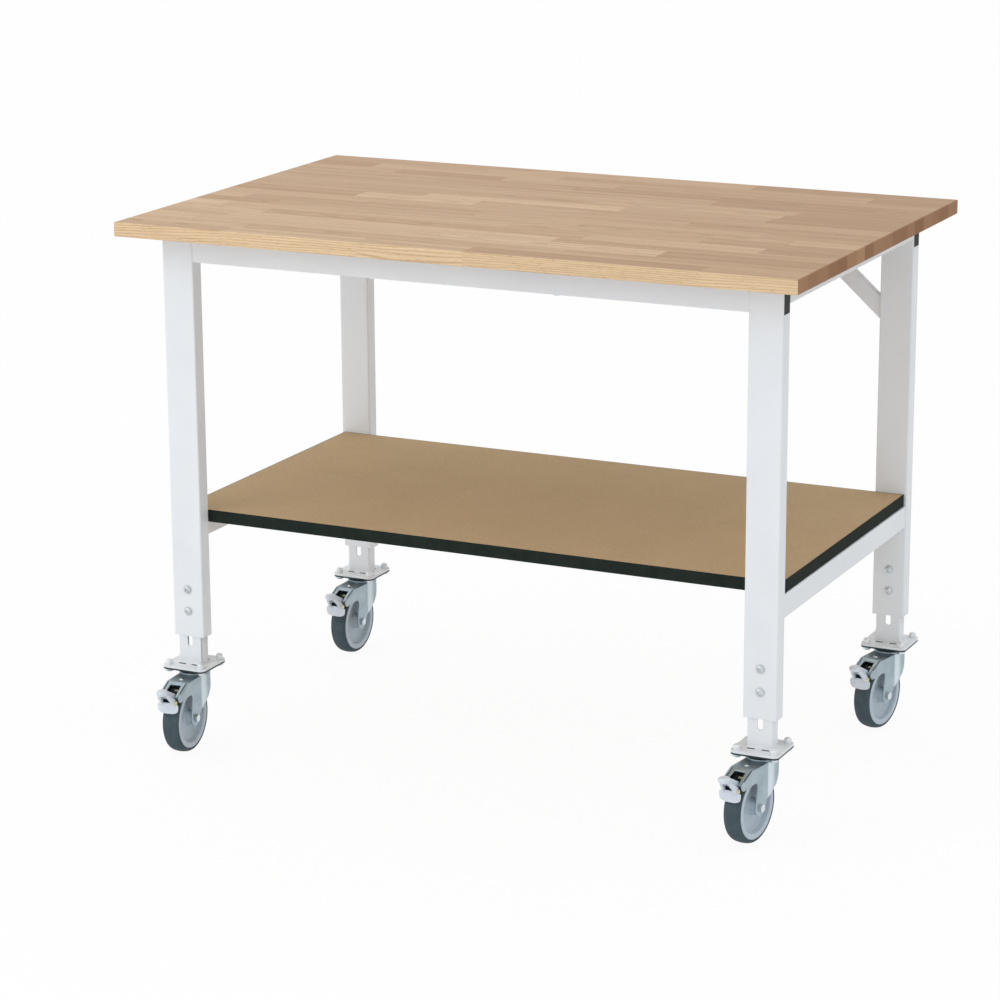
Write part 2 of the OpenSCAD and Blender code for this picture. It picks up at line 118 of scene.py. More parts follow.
def add(tree: Tree, kind: str, *values: object, out: int | str = 0,
        named: dict | None = None, **settings: object) -> Socket | bpy.types.Node:
    """Adds one node with its settings, values and links.

    Args:
        tree: the tree that gets the node.
        kind: the node's type, which for a shader node goes without ShaderNode.
        values: what its inputs get, in order; a socket is linked.
        out: which output to hand back.
        named: more inputs, by name or number.
        settings: more inputs if they start with a capital, or properties of the node itself.

    Returns:
        The chosen output socket, or the node if it has no outputs.
    """
    whole = kind.startswith(("GeometryNode", "FunctionNode", "NodeGroup"))
    node = tree.nodes.new(kind if whole else "ShaderNode" + kind)
    inputs = dict(enumerate(values)) | (named or {})
    for key, value in settings.items():
        if key[0].isupper():
            inputs[key.replace("_", " ")] = value
        else:
            setattr(node, key, value)
    for key, value in inputs.items():
        if isinstance(value, Socket):
            tree.links.new(value, node.inputs[key])
        else:
            node.inputs[key].default_value = value
    return node.outputs[out] if len(node.outputs) else node


def emptied(owner: bpy.types.Material | bpy.types.World) -> Tree:
    """Switches nodes on and clears them.

    Args:
        owner: the material or world that has them.

    Returns:
        Its empty tree.
    """
    owner.use_nodes = True
    owner.node_tree.nodes.clear()
    return owner.node_tree


@dataclass(frozen=True)
class Finish:
    """A surface finish. Each kind adds its own nodes in nodes()."""

    name: str
    slot: Slot
    colour: str
    roughness: float
    gloss: float = 0.5

    def nodes(self, tree: Tree, place: Socket) -> dict:
        """Builds the pattern.

        Args:
            tree: the material's tree.
            place: the Object coordinate socket.

        Returns:
            What goes into the Principled shader's sockets.
        """
        raise NotImplementedError

    def material(self) -> bpy.types.Material:
        """Makes the finish's material, the first time it is asked for.

        Returns:
            The material.
        """
        made = bpy.data.materials.get(self.name)
        if not made:
            made = bpy.data.materials.new(self.name)
            tree = emptied(made)
            sockets = self.nodes(tree, add(tree, "TexCoord", out="Object"))
            add(tree, "OutputMaterial", add(tree, "BsdfPrincipled", named=sockets,
                                            Specular_IOR_Level=self.gloss))
            made.diffuse_color = linear(self.colour)
        return made


@dataclass(frozen=True)
class Skin(Finish):
    """A surface whose colour drifts to a second one in patches, over a fine relief. A piece may
    carry a mark: a face or point attribute that says where a third colour shows."""

    second: str = "#000000"
    marked: str = "#000000"
    mark: str = ""
    patch_scale: float = 45.0
    patch_detail: float = 4.0
    patch_rough: float = 0.5
    patch_from: float = 0.3
    patch_to: float = 0.7
    spread: float = 1.0
    grain_mm: float = 1.0
    grain_detail: float = 2.0
    grain_draw: Point = (1.0, 1.0, 1.0)
    depth_mm: float = 0.02
    bump: float = 0.4
    duller: tuple[float, float] = (-0.06, 0.08)
    dull_in_patches: bool = True
    metal: float = 0.0

    def nodes(self, tree: Tree, place: Socket) -> dict:
        """Lays patches of colour, the mark, sheen that varies a little, and the relief.

        Args:
            tree: the material's tree.
            place: the Object coordinate socket.

        Returns:
            What goes into the Principled shader's sockets.
        """
        patch = add(tree, "TexNoise", place, Scale=self.patch_scale, Detail=self.patch_detail,
                    Roughness=self.patch_rough)
        share = add(tree, "MapRange", patch, self.patch_from, self.patch_to, 0.0, self.spread)
        tint = add(tree, "Mix", share, named={6: linear(self.colour), 7: linear(self.second)},
                   **COLOURS)
        if self.mark:
            where = add(tree, "Attribute", attribute_name=self.mark, out="Fac")
            tint = add(tree, "Mix", where, named={6: tint, 7: linear(self.marked)}, **COLOURS)
        along = add(tree, "VectorMath", place, self.grain_draw, operation="MULTIPLY")
        grain = add(tree, "TexNoise", along, Scale=1 / (self.grain_mm * MM),
                    Detail=self.grain_detail)
        rough = add(tree, "MapRange", patch if self.dull_in_patches else grain, 0.3, 0.7,
                    *(self.roughness + change for change in self.duller))
        relief = add(tree, "Bump", Strength=self.bump, Distance=self.depth_mm * MM, Height=grain)
        return {"Base Color": tint, "Metallic": self.metal, "Roughness": rough, "Normal": relief}


@dataclass(frozen=True)
class PowderCoat(Skin):
    """Polyester powder baked on steel tube: even, satin, with the slight ripple of orange peel.
    Its mark is painted shade: slot walls coloured dark grey for the shadow seen through the slots."""

    second: str = "#DADFE4"
    # painted shade: the dark grey of the slot walls
    marked: str = "#5A6064"
    mark: str = "slot_wall_shade"
    patch_scale: float = 7.0
    patch_from: float = 0.35
    patch_to: float = 0.75
    spread: float = 0.7
    grain_mm: float = 2.2
    grain_detail: float = 1.5
    bump: float = 0.5
    duller: tuple[float, float] = (-0.03, 0.04)
    dull_in_patches: bool = False


@dataclass(frozen=True)
class Plastic(Skin):
    """Injection-moulded plastic: fine spark-eroded grain from the mould and slightly uneven
    colour."""

    grain_mm: float = 0.8
    duller: tuple[float, float] = (-0.05, 0.06)
    dull_in_patches: bool = False


@dataclass(frozen=True)
class ZincPlate(Skin):
    """Electroplated zinc with a passivate: a soft metal shine whose tint drifts over the surface,
    with faint draw marks from the press. Its mark is a painted highlight: a pale band on the fork."""

    # painted highlight: this pale colour is laid on the fork where its "drawn" attribute is high
    marked: str = "#D8E4EA"
    mark: str = "drawn"
    patch_scale: float = 38.0
    patch_detail: float = 5.0
    patch_rough: float = 0.6
    grain_mm: float = 0.7
    grain_draw: Point = (1.0, 1.0, 0.12)
    depth_mm: float = 0.05
    bump: float = 0.25
    metal: float = 1.0


@dataclass(frozen=True)
class Rubber(Skin):
    """Thermoplastic rubber tread: dull slate grey, lighter where floor dust has rubbed in."""

    second: str = "#56686F"
    patch_scale: float = 60.0
    patch_detail: float = 6.0
    patch_rough: float = 0.65
    patch_from: float = 0.42
    patch_to: float = 0.75
    spread: float = 0.5
    grain_mm: float = 1 / 0.9
    depth_mm: float = 0.05


@dataclass(frozen=True)
class Fibreboard(Finish):
    """Hard-faced medium-density fibreboard: dull brown felt of short wood fibres, cloudy at arm's
    length, with scattered paler and darker chips."""

    light: str = "#CFB48B"
    dark: str = "#A58B62"

    def nodes(self, tree: Tree, place: Socket) -> dict:
        """Lays clouds, a felt of fibres and scattered chips.

        Args:
            tree: the material's tree.
            place: the Object coordinate socket.

        Returns:
            What goes into the Principled shader's sockets.
        """
        cloud = add(tree, "TexNoise", place, Scale=5.0, Detail=5.0, Roughness=0.6)
        cloud = add(tree, "MapRange", cloud, 0.3, 0.7, 0.42, 0.58)
        felt = add(tree, "TexNoise", place, Scale=420.0, Detail=3.0, Distortion=1.5)
        felt = add(tree, "MapRange", felt, 0.3, 0.7, -0.30, 0.30)
        share = add(tree, "Math", cloud, felt, operation="ADD", use_clamp=True)
        tint = add(tree, "Mix", share, named={6: linear(self.dark), 7: linear(self.light)},
                   **COLOURS)
        chip = add(tree, "TexVoronoi", place, Scale=150.0)
        chip = add(tree, "MapRange", chip, 0.10, 0.22, 0.35, 0.0)
        tint = add(tree, "Mix", chip, named={6: tint, 7: linear(self.dark)}, **COLOURS)
        relief = add(tree, "Bump", Strength=0.3, Distance=0.2 * MM, Height=felt)
        return {"Base Color": tint, "Roughness": self.roughness, "Normal": relief}


@dataclass(frozen=True)
class Beech(Finish):
    """Steamed beech staves glued side by side and end to end, sanded and oiled: fine straight
    fibre, annual rings that arch where a stave is flat-sawn, and short dark ray flecks. Each stave
    carries its own tone and the place of its tree's heart as face attributes."""

    pale: str = "#D8B88F"
    brown: str = "#AC8358"
    golden: str = "#E6CBA3"
    late: str = "#94704C"
    end_pale: str = "#B38C68"
    end_brown: str = "#855D40"
    ring_mm: float = 3.4
    ring_depth: float = 0.34
    wander_mm: float = 8.0
    fibre_mm: float = 1.6
    fibre_depth: float = 0.26
    streak_depth: float = 0.22
    fleck_mm: float = 1.3
    fleck_depth: float = 0.26
    end_soak: float = 0.96
    end_dull: float = 0.35
    relief_mm: float = 0.2

    def rings(self, tree: Tree, place: Socket, moved: Socket) -> Socket:
        """Draws the annual rings round each stave's heart.

        Args:
            tree: the material's tree.
            place: the Object coordinate socket.
            moved: the same, shifted to another place in the tree for each stave.

        Returns:
            How dark the late wood is.
        """
        heart = add(tree, "Attribute", attribute_name="heart", out="Vector")
        wander = add(tree, "VectorMath", moved, (2.6, 14.0, 14.0), operation="MULTIPLY")
        wander = add(tree, "TexNoise", wander, Scale=1.0, Detail=2.0)
        wander = add(tree, "MapRange", wander, 0.0, 1.0, -self.wander_mm * MM,
                     self.wander_mm * MM)
        (x, y, z), (tilt, heart_y, heart_z) = ([add(tree, "SeparateXYZ", source, out=n)
                                                for n in range(3)] for source in (place, heart))
        # the distance from the heart, which leans along the stave
        lean = add(tree, "Math", x, tilt, operation="MULTIPLY")
        side = add(tree, "Math", y, heart_y, operation="SUBTRACT")
        deep = add(tree, "Math", z, heart_z, operation="SUBTRACT")
        deep = add(tree, "Math", deep, lean, operation="ADD")
        away = add(tree, "CombineXYZ", 0.0, side, deep)
        away = add(tree, "VectorMath", away, out="Value", operation="LENGTH")
        away = add(tree, "Math", away, wander, operation="ADD")
        turn = add(tree, "Math", away, 2 * math.pi / (self.ring_mm * MM), operation="MULTIPLY")
        ring = add(tree, "Math", turn, operation="SINE")
        return add(tree, "MapRange", ring, 0.1, 1.0, 0.0, self.ring_depth,
                   interpolation_type="SMOOTHSTEP")

    def nodes(self, tree: Tree, place: Socket) -> dict:
        """Lays tone by stave, then rings, fibre and flecks on top, and browner end grain.

        Args:
            tree: the material's tree.
            place: the Object coordinate socket.

        Returns:
            What goes into the Principled shader's sockets.
        """
        stave = add(tree, "Attribute", attribute_name="stave", out="Color")
        tone, seed, ends = (add(tree, "SeparateColor", stave, out=n) for n in range(3))
        edges = add(tree, "Attribute", attribute_name="stave", out="Alpha")
        # each stave is cut from another place in the tree
        shift = add(tree, "VectorMath", seed, (37.0, 11.0, 5.0), operation="MULTIPLY")
        moved = add(tree, "VectorMath", place, shift, operation="ADD")
        ring = self.rings(tree, place, moved)
        # fibre, drawn wider than the real 0.1 mm so that it shows
        across = 1 / (self.fibre_mm * MM)
        fibre = add(tree, "VectorMath", moved, (14.0, across, across), operation="MULTIPLY")
        fibre = add(tree, "TexNoise", fibre, Scale=1.0, Detail=3.0, Roughness=0.6)
        streak = add(tree, "VectorMath", moved, (1.6, 95.0, 95.0), operation="MULTIPLY")
        streak = add(tree, "TexNoise", streak, Scale=1.0, Detail=2.0)
        streak = add(tree, "MapRange", streak, 0.3, 0.7, -self.streak_depth,
                     self.streak_depth)
        across = 1 / (self.fleck_mm * MM)
        fleck = add(tree, "VectorMath", moved, (130.0, across, across), operation="MULTIPLY")
        fleck = add(tree, "TexVoronoi", fleck, Scale=0.42)
        fleck = add(tree, "MapRange", fleck, 0.14, 0.30, self.fleck_depth, 0.0)
        shade = add(tree, "Math", tone, streak, operation="ADD", use_clamp=True)
        colour = add(tree, "Mix", shade, named={6: linear(self.pale), 7: linear(self.brown)},
                     **COLOURS)
        colour = add(tree, "Mix", edges, named={6: colour, 7: linear(self.golden)}, **COLOURS)
        dark = add(tree, "MapRange", fibre, 0.35, 0.75, 0.0, self.fibre_depth)
        dark = add(tree, "Math", ring, dark, operation="ADD")
        dark = add(tree, "Math", dark, fleck, operation="ADD", use_clamp=True)
        colour = add(tree, "Mix", dark, named={6: colour, 7: linear(self.late)}, **COLOURS)
        # end grain drinks more oil: browner, with the rings across it
        pith = add(tree, "Math", tone, seed, operation="ADD")
        pith = add(tree, "Math", pith, 0.55, operation="MULTIPLY")
        ends_tint = add(tree, "Mix", pith, **COLOURS,
                        named={6: linear(self.end_pale), 7: linear(self.end_brown)})
        bands = add(tree, "Math", ring, 1.2, operation="MULTIPLY")
        ends_tint = add(tree, "Mix", bands, named={6: ends_tint, 7: linear(self.end_brown)},
                        **COLOURS)
        soaked = add(tree, "Math", ends, self.end_soak, operation="MULTIPLY")
        colour = add(tree, "Mix", soaked, named={6: colour, 7: ends_tint}, **COLOURS)
        rough = add(tree, "MapRange", fibre, 0.3, 0.7, self.roughness - 0.05,
                    self.roughness + 0.06)
        rough = add(tree, "Math", ends, self.end_dull, rough, operation="MULTIPLY_ADD",
                    use_clamp=True)
        relief = add(tree, "Bump", Strength=0.35, Distance=self.relief_mm * MM, Height=fibre)
        return {"Base Color": colour, "Roughness": rough, "Normal": relief}


# polyester powder coat on steel tube: near-white, satin, with a soft edge to its highlights
WHITE_COAT = PowderCoat("powder_coat_white", Slot.WHITE_STEEL, "#E2E6EA", 0.42)
# beech, glued, sanded and oiled: warm, patchy from stave to stave, with a low silky shine
OILED_BEECH = Beech("oiled_beech", Slot.BEECH, "#D3B288", 0.48)
# medium-density fibreboard, pressed and left bare: felted brown, almost without shine
HARD_BOARD = Fibreboard("fibreboard_bare", Slot.FIBREBOARD, "#A99170", 0.75)
# ABS edging, extruded and ironed on: green-black and dull
BLACK_BAND = Plastic("edge_band_black", Slot.BLACK_EDGING, "#1A231E", 0.75, 0.12,
                     second="#262F2A", spread=0.6)
# polyethylene plugs, moulded: black with a faint waxy shine
BLACK_PLUG = Plastic("plug_black", Slot.BLACK_PLASTIC, "#161E1A", 0.6, 0.3, second="#242D28",
                     spread=0.5)
# zinc-plated steel, barrel plated and passivated clear: bright and mirror-like on the flats
BRIGHT_ZINC = ZincPlate("zinc_bright", Slot.FASTENERS, "#DDE2E5", 0.22, second="#C9D1D6")
# the same on cold-headed bolts: softer, because the heads are tumbled
BOLT_ZINC = ZincPlate("zinc_leg_bolts", Slot.FASTENERS, "#D3D9DC", 0.3, second="#C2C9CD",
                      metal=0.6)
# capped nuts under a thin white lacquer: pale, hardly metallic
CAP_ZINC = ZincPlate("zinc_cap_nuts", Slot.FASTENERS, "#E6E9EB", 0.42, second="#DADFE2",
                     metal=0.35)
# zinc-plated pressed sheet, passivated blue: grey-blue, cloudy, with a painted highlight on the
# fork's band
PRESSED_ZINC = ZincPlate("zinc_pressed_sheet", Slot.ZINC_SHEET, "#AEBDC4", 0.4,
                         second="#9DAEB6", metal=0.7)
# the caster's plate and upper race, zinc plated and coloured dark slate: painted shade for the
# shadowed gap under the foot plate
RACE_ZINC = ZincPlate("zinc_race_and_plate", Slot.ZINC_SHEET, "#434F54", 0.4, second="#333D41")
# painted shade: a nearly black sheet with a dim shine, set where only shadow shows, in the fork's
# window and behind the pedal's slot
PAINTED_SHADE_SHEET = ZincPlate("brake_lever_blackened", Slot.ZINC_SHEET, "#23282A", 0.5,
                         second="#30363A")
# zinc plate passivated yellow: pale straw
GOLD_ZINC = ZincPlate("zinc_yellow_passivate", Slot.YELLOW_ZINC, "#DAD5AE", 0.36,
                      second="#C6C29E", metal=0.7)
# polypropylene, moulded: light blue-grey, satin
RIM_PLASTIC = Plastic("rim_polypropylene_grey", Slot.GREY_RIM, "#B7C5D0", 0.40,
                      second="#A4B3BF", spread=0.25)
# thermoplastic rubber, moulded: dull slate
TREAD = Rubber("tread_slate", Slot.TYRE, "#3B4B52", 0.72, 0.35)
# polyamide, moulded in a polished tool: pale and glossy
PEDAL_PLASTIC = Plastic("pedal_polyamide_pale", Slot.PALE_PLASTIC, "#D2DBE5", 0.22,
                        second="#C3CDDA", spread=0.4, depth_mm=0.003)


# ---------------------------------------------------------------- meshes


def from_bmesh(bm: BMesh, name: str) -> bpy.types.Mesh:
    """Turns a bmesh into a mesh and frees it.

    Args:
        bm: the bmesh.
        name: the mesh's name.

    Returns:
        The mesh.
    """
    mesh = bpy.data.meshes.new(name)
    bm.to_mesh(mesh)
    bm.free()
    return mesh


def linked(name: str, data: bpy.types.ID) -> bpy.types.Object:
    """Makes an object and links it to the scene.

    Args:
        name: its name.
        data: its mesh, camera or light.

    Returns:
        The object.
    """
    obj = bpy.data.objects.new(name, data)
    bpy.context.scene.collection.objects.link(obj)
    return obj


def evaluated(obj: bpy.types.Object) -> bpy.types.Mesh:
    """Applies an object's modifiers.

    Args:
        obj: a linked object with modifiers.

    Returns:
        The plain mesh that they give.
    """
    bpy.context.view_layer.update()
    depsgraph = bpy.context.evaluated_depsgraph_get()
    mesh = bpy.data.meshes.new_from_object(obj.evaluated_get(depsgraph))
    obj.modifiers.clear()
    return mesh


def piece(shape: Shape, name: str, body: str, finish: Finish,
          stands_for: tuple[str, ...] = (), angle: float = SMOOTH_BELOW) -> None:
    """Links a shape as one finished piece of the bench, its normals weighted by area.

    Args:
        shape: the mesh or bmesh, already in its place.
        name: the piece's name.
        body: the CAD body that it rides on.
        finish: its surface finish.
        stands_for: the CAD nodes that it replaces.
        angle: edges sharper than this many degrees stay sharp.
    """
    mesh = from_bmesh(shape, name) if isinstance(shape, BMesh) else shape
    mesh.materials.clear()
    mesh.materials.append(finish.material())
    obj = linked(name, mesh)
    mesh.shade_smooth()
    mesh.set_sharp_from_angle(angle=math.radians(angle))
    weigh = obj.modifiers.new("weigh", "WEIGHTED_NORMAL")
    weigh.keep_sharp = True
    weigh.weight = 100
    obj.data = evaluated(obj)
    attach(obj, body)
    if stands_for:
        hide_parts(*stands_for)
    LOG.info("%s: %d faces on %s", name, len(obj.data.polygons), body)


def cad_copy(node: str) -> BMesh:
    """Copies a CAD node's mesh, its loose triangles merged into whole flat faces.

    Args:
        node: the CAD node's name.

    Returns:
        The closed copy.
    """
    bm = bmesh.new()
    bm.from_mesh(frame["nodes"][node].data)
    bmesh.ops.remove_doubles(bm, verts=bm.verts, dist=2e-6)
    bmesh.ops.dissolve_limit(bm, angle_limit=math.radians(0.5), verts=bm.verts, edges=bm.edges)
    return bm


def ease(bm: BMesh, radius: float, shortest: float = 6.0, steps: int = 2) -> BMesh:
    """Rounds the long sharp edges of a mesh.

    Args:
        bm: the mesh.
        radius: the rounding in millimetres.
        shortest: edges shorter than this many millimetres stay as they are.
        steps: faces across the rounding.

    Returns:
        The same bmesh.
    """
    edges = [e for e in bm.edges if len(e.link_faces) == 2 and e.calc_length() > shortest * MM
             and e.calc_face_angle(0.0) > EASE_ABOVE]
    bmesh.ops.bevel(bm, geom=edges, offset=radius * MM, offset_type="OFFSET", segments=steps,
                    profile=0.5, affect="EDGES", clamp_overlap=True)
    return bm


def turned(outline: Outline, place: Matrix, segments: int = 96) -> BMesh:
    """Turns a closed outline about the local X axis.

    Args:
        outline: [radius, distance along the axis] in millimetres, going round once.
        place: the local frame in metres.
        segments: steps round the turn.

    Returns:
        The closed shape, in its place.
    """
    bm = bmesh.new()
    rings = []
    for k in range(segments):
        a = 2 * math.pi * k / segments
        rings.append([bm.verts.new((x * MM, r * MM * math.cos(a), r * MM * math.sin(a)))
                      for r, x in outline])
    for near, far in zip(rings, rings[1:] + rings[:1]):
        for i in range(len(outline)):
            bm.faces.new((near[i - 1], near[i], far[i], far[i - 1]))
    bmesh.ops.remove_doubles(bm, verts=bm.verts, dist=1e-6)
    bmesh.ops.recalc_face_normals(bm, faces=bm.faces)
    bm.transform(place)
    return bm


def mirrored(half: Outline) -> Outline:
    """Completes an outline whose second half mirrors the first along the axis."""
    return half + [(r, -x) for r, x in reversed(half)]


def moulded(lumps: list[BMesh], place: Matrix, voxel: float, passes: int,
            cuts: tuple[BMesh, ...] = ()) -> bpy.types.Mesh:
    """Melts overlapping lumps into one soft-edged skin.

    Args:
        lumps: closed shapes in the local frame, in metres.
        place: the local frame.
        voxel: size of the skin's grid in millimetres.
        passes: smoothing passes.
        cuts: closed shapes to cut away first.

    Returns:
        The closed mesh, in its place.
    """
    whole = bmesh.new()
    for lump in lumps:
        whole.from_mesh(from_bmesh(lump, "lump"))
    obj = linked("moulding", from_bmesh(whole, "moulding"))
    cutters = [linked("cutter", from_bmesh(cut, "cutter")) for cut in cuts]
    for cutter in cutters:
        carve = obj.modifiers.new("carve", "BOOLEAN")
        carve.operation = "DIFFERENCE"
        carve.object = cutter
    melt = obj.modifiers.new("melt", "REMESH")
    melt.mode = "VOXEL"
    melt.voxel_size = voxel * MM
    melt.adaptivity = 0.0
    soft = obj.modifiers.new("soft", "SMOOTH")
    soft.factor = 0.5
    soft.iterations = passes
    mesh = evaluated(obj)
    for spent in cutters + [obj]:
        bpy.data.objects.remove(spent)
    mesh.transform(place)
    return mesh


def block(low: Point, high: Point) -> BMesh:
    """Makes a box.

    Args:
        low: its lowest corner in millimetres.
        high: its highest.

    Returns:
        The closed box.
    """
    bm = bmesh.new()
    size, middle = Vector(high) - Vector(low), (Vector(high) + Vector(low)) / 2
    bmesh.ops.create_cube(bm, size=1.0)
    bmesh.ops.scale(bm, vec=size * MM, verts=bm.verts)
    bmesh.ops.translate(bm, vec=middle * MM, verts=bm.verts)
    return bm


def hull(*boxes: tuple[Point, Point], at: tuple[float, float] = (0.0, 0.0)) -> BMesh:
    """Makes the convex lump that wraps some boxes.

    Args:
        boxes: two corners each, in millimetres.
        at: the Y and Z that the corners are measured from.

    Returns:
        The closed lump.
    """
    bm = bmesh.new()
    for low, high in boxes:
        for x in (low[0], high[0]):
            for y in (low[1], high[1]):
                for z in (low[2], high[2]):
                    bm.verts.new((x * MM, (at[0] + y) * MM, (at[1] + z) * MM))
    bmesh.ops.convex_hull(bm, input=bm.verts)
    bmesh.ops.delete(bm, geom=[v for v in bm.verts if not v.link_faces], context="VERTS")
    bmesh.ops.recalc_face_normals(bm, faces=bm.faces)
    return bm


def bridged(*outlines: list[Point]) -> BMesh:
    """Closes the lump between two outlines.

    Args:
        outlines: two lists of as many points each, in millimetres.

    Returns:
        The closed lump.
    """
    bm = bmesh.new()
    near, far = ([bm.verts.new([v * MM for v in point]) for point in ring] for ring in outlines)
    bm.faces.new(near)
    bm.faces.new(list(reversed(far)))
    for i in range(len(near)):
        bm.faces.new((near[i - 1], far[i - 1], far[i], near[i]))
    bmesh.ops.recalc_face_normals(bm, faces=bm.faces)
    return bm


def plate(outline: Outline, x0: float, x1: float) -> BMesh:
    """Makes a flat plate from X to X, whose outline is [y, z] in millimetres."""
    return bridged(*([(x, y, z) for y, z in outline] for x in (x0, x1)))


def hexagon(across: float, height: float, rounding: float, z0: float = 0.0) -> BMesh:
    """Makes a hexagon nut or head with eased edges.

    Args:
        across: its size across the flats.
        height: its height.
        rounding: the rounding of its edges.
        z0: its foot.

    Returns:
        The closed shape, upright on the Z axis.
    """
    bm = bmesh.new()
    corner = across / 2 / math.cos(math.pi / 6) * MM
    bmesh.ops.create_cone(bm, cap_ends=True, segments=6, radius1=corner, radius2=corner,
                          depth=height * MM,
                          matrix=Matrix.Translation((0, 0, (z0 + height / 2) * MM)))
    return ease(bm, rounding, shortest=0.5)


# ---------------------------------------------------------------- what repeats


@dataclass(frozen=True)
class NodeTool:
    """A Geometry Nodes tree with named inputs, run once for each set of values. Each kind says
    what its inputs are, and builds its own middle in fill()."""

    name: str
    inputs: ClassVar[dict[str, str]] = {}

    def fill(self, tree: Tree, given: dict[str, Socket]) -> Socket:
        """Builds the tree's middle.

        Args:
            tree: the tree.
            given: the sockets of its inputs, by name.

        Returns:
            The geometry before Realize Instances.
        """
        raise NotImplementedError

    def tree(self) -> Tree:
        """Makes the tree, the first time it is asked for.

        Returns:
            The tree.
        """
        made = bpy.data.node_groups.get(self.name)
        if not made:
            made = bpy.data.node_groups.new(self.name, "GeometryNodeTree")
            for label, kind in (self.inputs | {"Finish": "Material"}).items():
                made.interface.new_socket(label, in_out="INPUT", socket_type="NodeSocket" + kind)
            made.interface.new_socket("Geometry", in_out="OUTPUT",
                                      socket_type="NodeSocketGeometry")
            given = {socket.name: socket for socket in made.nodes.new("NodeGroupInput").outputs}
            grown = add(made, "GeometryNodeRealizeInstances", self.fill(made, given))
            grown = add(made, "GeometryNodeSetMaterial", grown, Material=given["Finish"])
            add(made, "NodeGroupOutput", grown)
        return made

    def run(self, finish: Finish, **values: object) -> bpy.types.Mesh:
        """Grows the tree's mesh.

        Args:
            finish: the finish of what is made.
            values: the inputs by name; lengths are in metres.

        Returns:
            A plain mesh.
        """
        obj = linked("grower", bpy.data.meshes.new("grower"))
        grow = obj.modifiers.new("grow", "NODES")
        grow.node_group = self.tree()
        values["Finish"] = finish.material()
        for item in grow.node_group.interface.items_tree:
            if item.in_out == "INPUT":
                grow[item.identifier] = values[item.name]
        mesh = evaluated(obj)
        bpy.data.objects.remove(obj)
        return mesh


@dataclass(frozen=True)
class FastenerGrid(NodeTool):
    """Sets one fastener out on a rectangular grid of holes."""

    inputs: ClassVar[dict[str, str]] = {
        "Fastener": "Object", "Columns": "Int", "Rows": "Int", "Width": "Float",
        "Height": "Float", "Place": "Vector", "Facing": "Vector"}

    def fill(self, tree: Tree, given: dict[str, Socket]) -> Socket:
        """Turns and places grid points, and puts the fastener on each.

        Args:
            tree: the tree.
            given: the sockets of its inputs, by name.

        Returns:
            The geometry before Realize Instances.
        """
        grid = add(tree, "GeometryNodeMeshGrid", given["Width"], given["Height"],
                   given["Columns"], given["Rows"])
        grid = add(tree, "GeometryNodeTransform", grid, Translation=given["Place"],
                   Rotation=given["Facing"])
        source = add(tree, "GeometryNodeObjectInfo", given["Fastener"], out="Geometry")
        turn = add(tree, "FunctionNodeEulerToRotation", given["Facing"])
        return add(tree, "GeometryNodeInstanceOnPoints", grid, Instance=source, Rotation=turn)

    def set_out(self, fastener: bpy.types.Mesh, finish: Finish,
                **values: object) -> bpy.types.Mesh:
        """Sets a fastener out.

        Args:
            fastener: its mesh, standing on the XY plane.
            finish: its finish.
            values: the other inputs by name; lengths are in metres.

        Returns:
            A plain mesh of all of them.
        """
        source = bpy.data.objects.new("source", fastener)
        mesh = self.run(finish, Fastener=source, **values)
        bpy.data.objects.remove(source)
        return mesh


@dataclass(frozen=True)
class CoilSpring(NodeTool):
    """Winds a wire into a helical spring along X."""

    inputs: ClassVar[dict[str, str]] = {
        "Turns": "Float", "Radius": "Float", "Length": "Float", "Wire": "Float",
        "Place": "Vector"}

    def fill(self, tree: Tree, given: dict[str, Socket]) -> Socket:
        """Sweeps a spiral with round wire, lays it along X and places it.

        Args:
            tree: the tree.
            given: the sockets of its inputs, by name.

        Returns:
            The geometry before Realize Instances.
        """
        spiral = add(tree, "GeometryNodeCurveSpiral", 20, given["Turns"], given["Radius"],
                     given["Radius"], given["Length"])
        wire = add(tree, "GeometryNodeCurvePrimitiveCircle", Resolution=8, Radius=given["Wire"])
        coil = add(tree, "GeometryNodeCurveToMesh", spiral, wire, Fill_Caps=True)
        coil = add(tree, "GeometryNodeTransform", coil, Rotation=(0.0, math.pi / 2, 0.0))
        return add(tree, "GeometryNodeTransform", coil, Translation=given["Place"])


@dataclass(frozen=True)
class WeldBead(NodeTool):
    """Runs a rippled weld bead round the foot of a rectangular tube."""

    swell: float = 0.12
    step_mm: float = 0.7
    inputs: ClassVar[dict[str, str]] = {
        "Width": "Float", "Depth": "Float", "Corner": "Float", "Bead": "Float",
        "Ripple": "Float", "Place": "Vector"}

    def fill(self, tree: Tree, given: dict[str, Socket]) -> Socket:
        """Sweeps a rounded rectangle with a round bead whose radius ripples.

        Args:
            tree: the tree.
            given: the sockets of its inputs, by name.

        Returns:
            The geometry before Realize Instances.
        """
        path = add(tree, "GeometryNodeCurvePrimitiveQuadrilateral", given["Width"],
                   given["Depth"])
        path = add(tree, "GeometryNodeFilletCurve", path, mode="POLY", Count=4,
                   Radius=given["Corner"])
        path = add(tree, "GeometryNodeResampleCurve", path, mode="LENGTH",
                   Length=self.step_mm * MM)
        along = add(tree, "GeometryNodeSplineParameter", out="Length")
        wave = add(tree, "Math", along, given["Ripple"], operation="DIVIDE")
        wave = add(tree, "Math", wave, 2 * math.pi, operation="MULTIPLY")
        wave = add(tree, "Math", wave, operation="SINE")
        size = add(tree, "Math", wave, self.swell, 1.0, operation="MULTIPLY_ADD")
        path = add(tree, "GeometryNodeSetCurveRadius", path, Radius=size)
        bead = add(tree, "GeometryNodeCurvePrimitiveCircle", Resolution=8, Radius=given["Bead"])
        bead = add(tree, "GeometryNodeCurveToMesh", path, bead)
        return add(tree, "GeometryNodeTransform", bead, Translation=given["Place"])


GRID = FastenerGrid("set_out_fasteners")
SPRING = CoilSpring("wind_spring")
WELD = WeldBead("run_weld_bead")


# ---------------------------------------------------------------- worktop


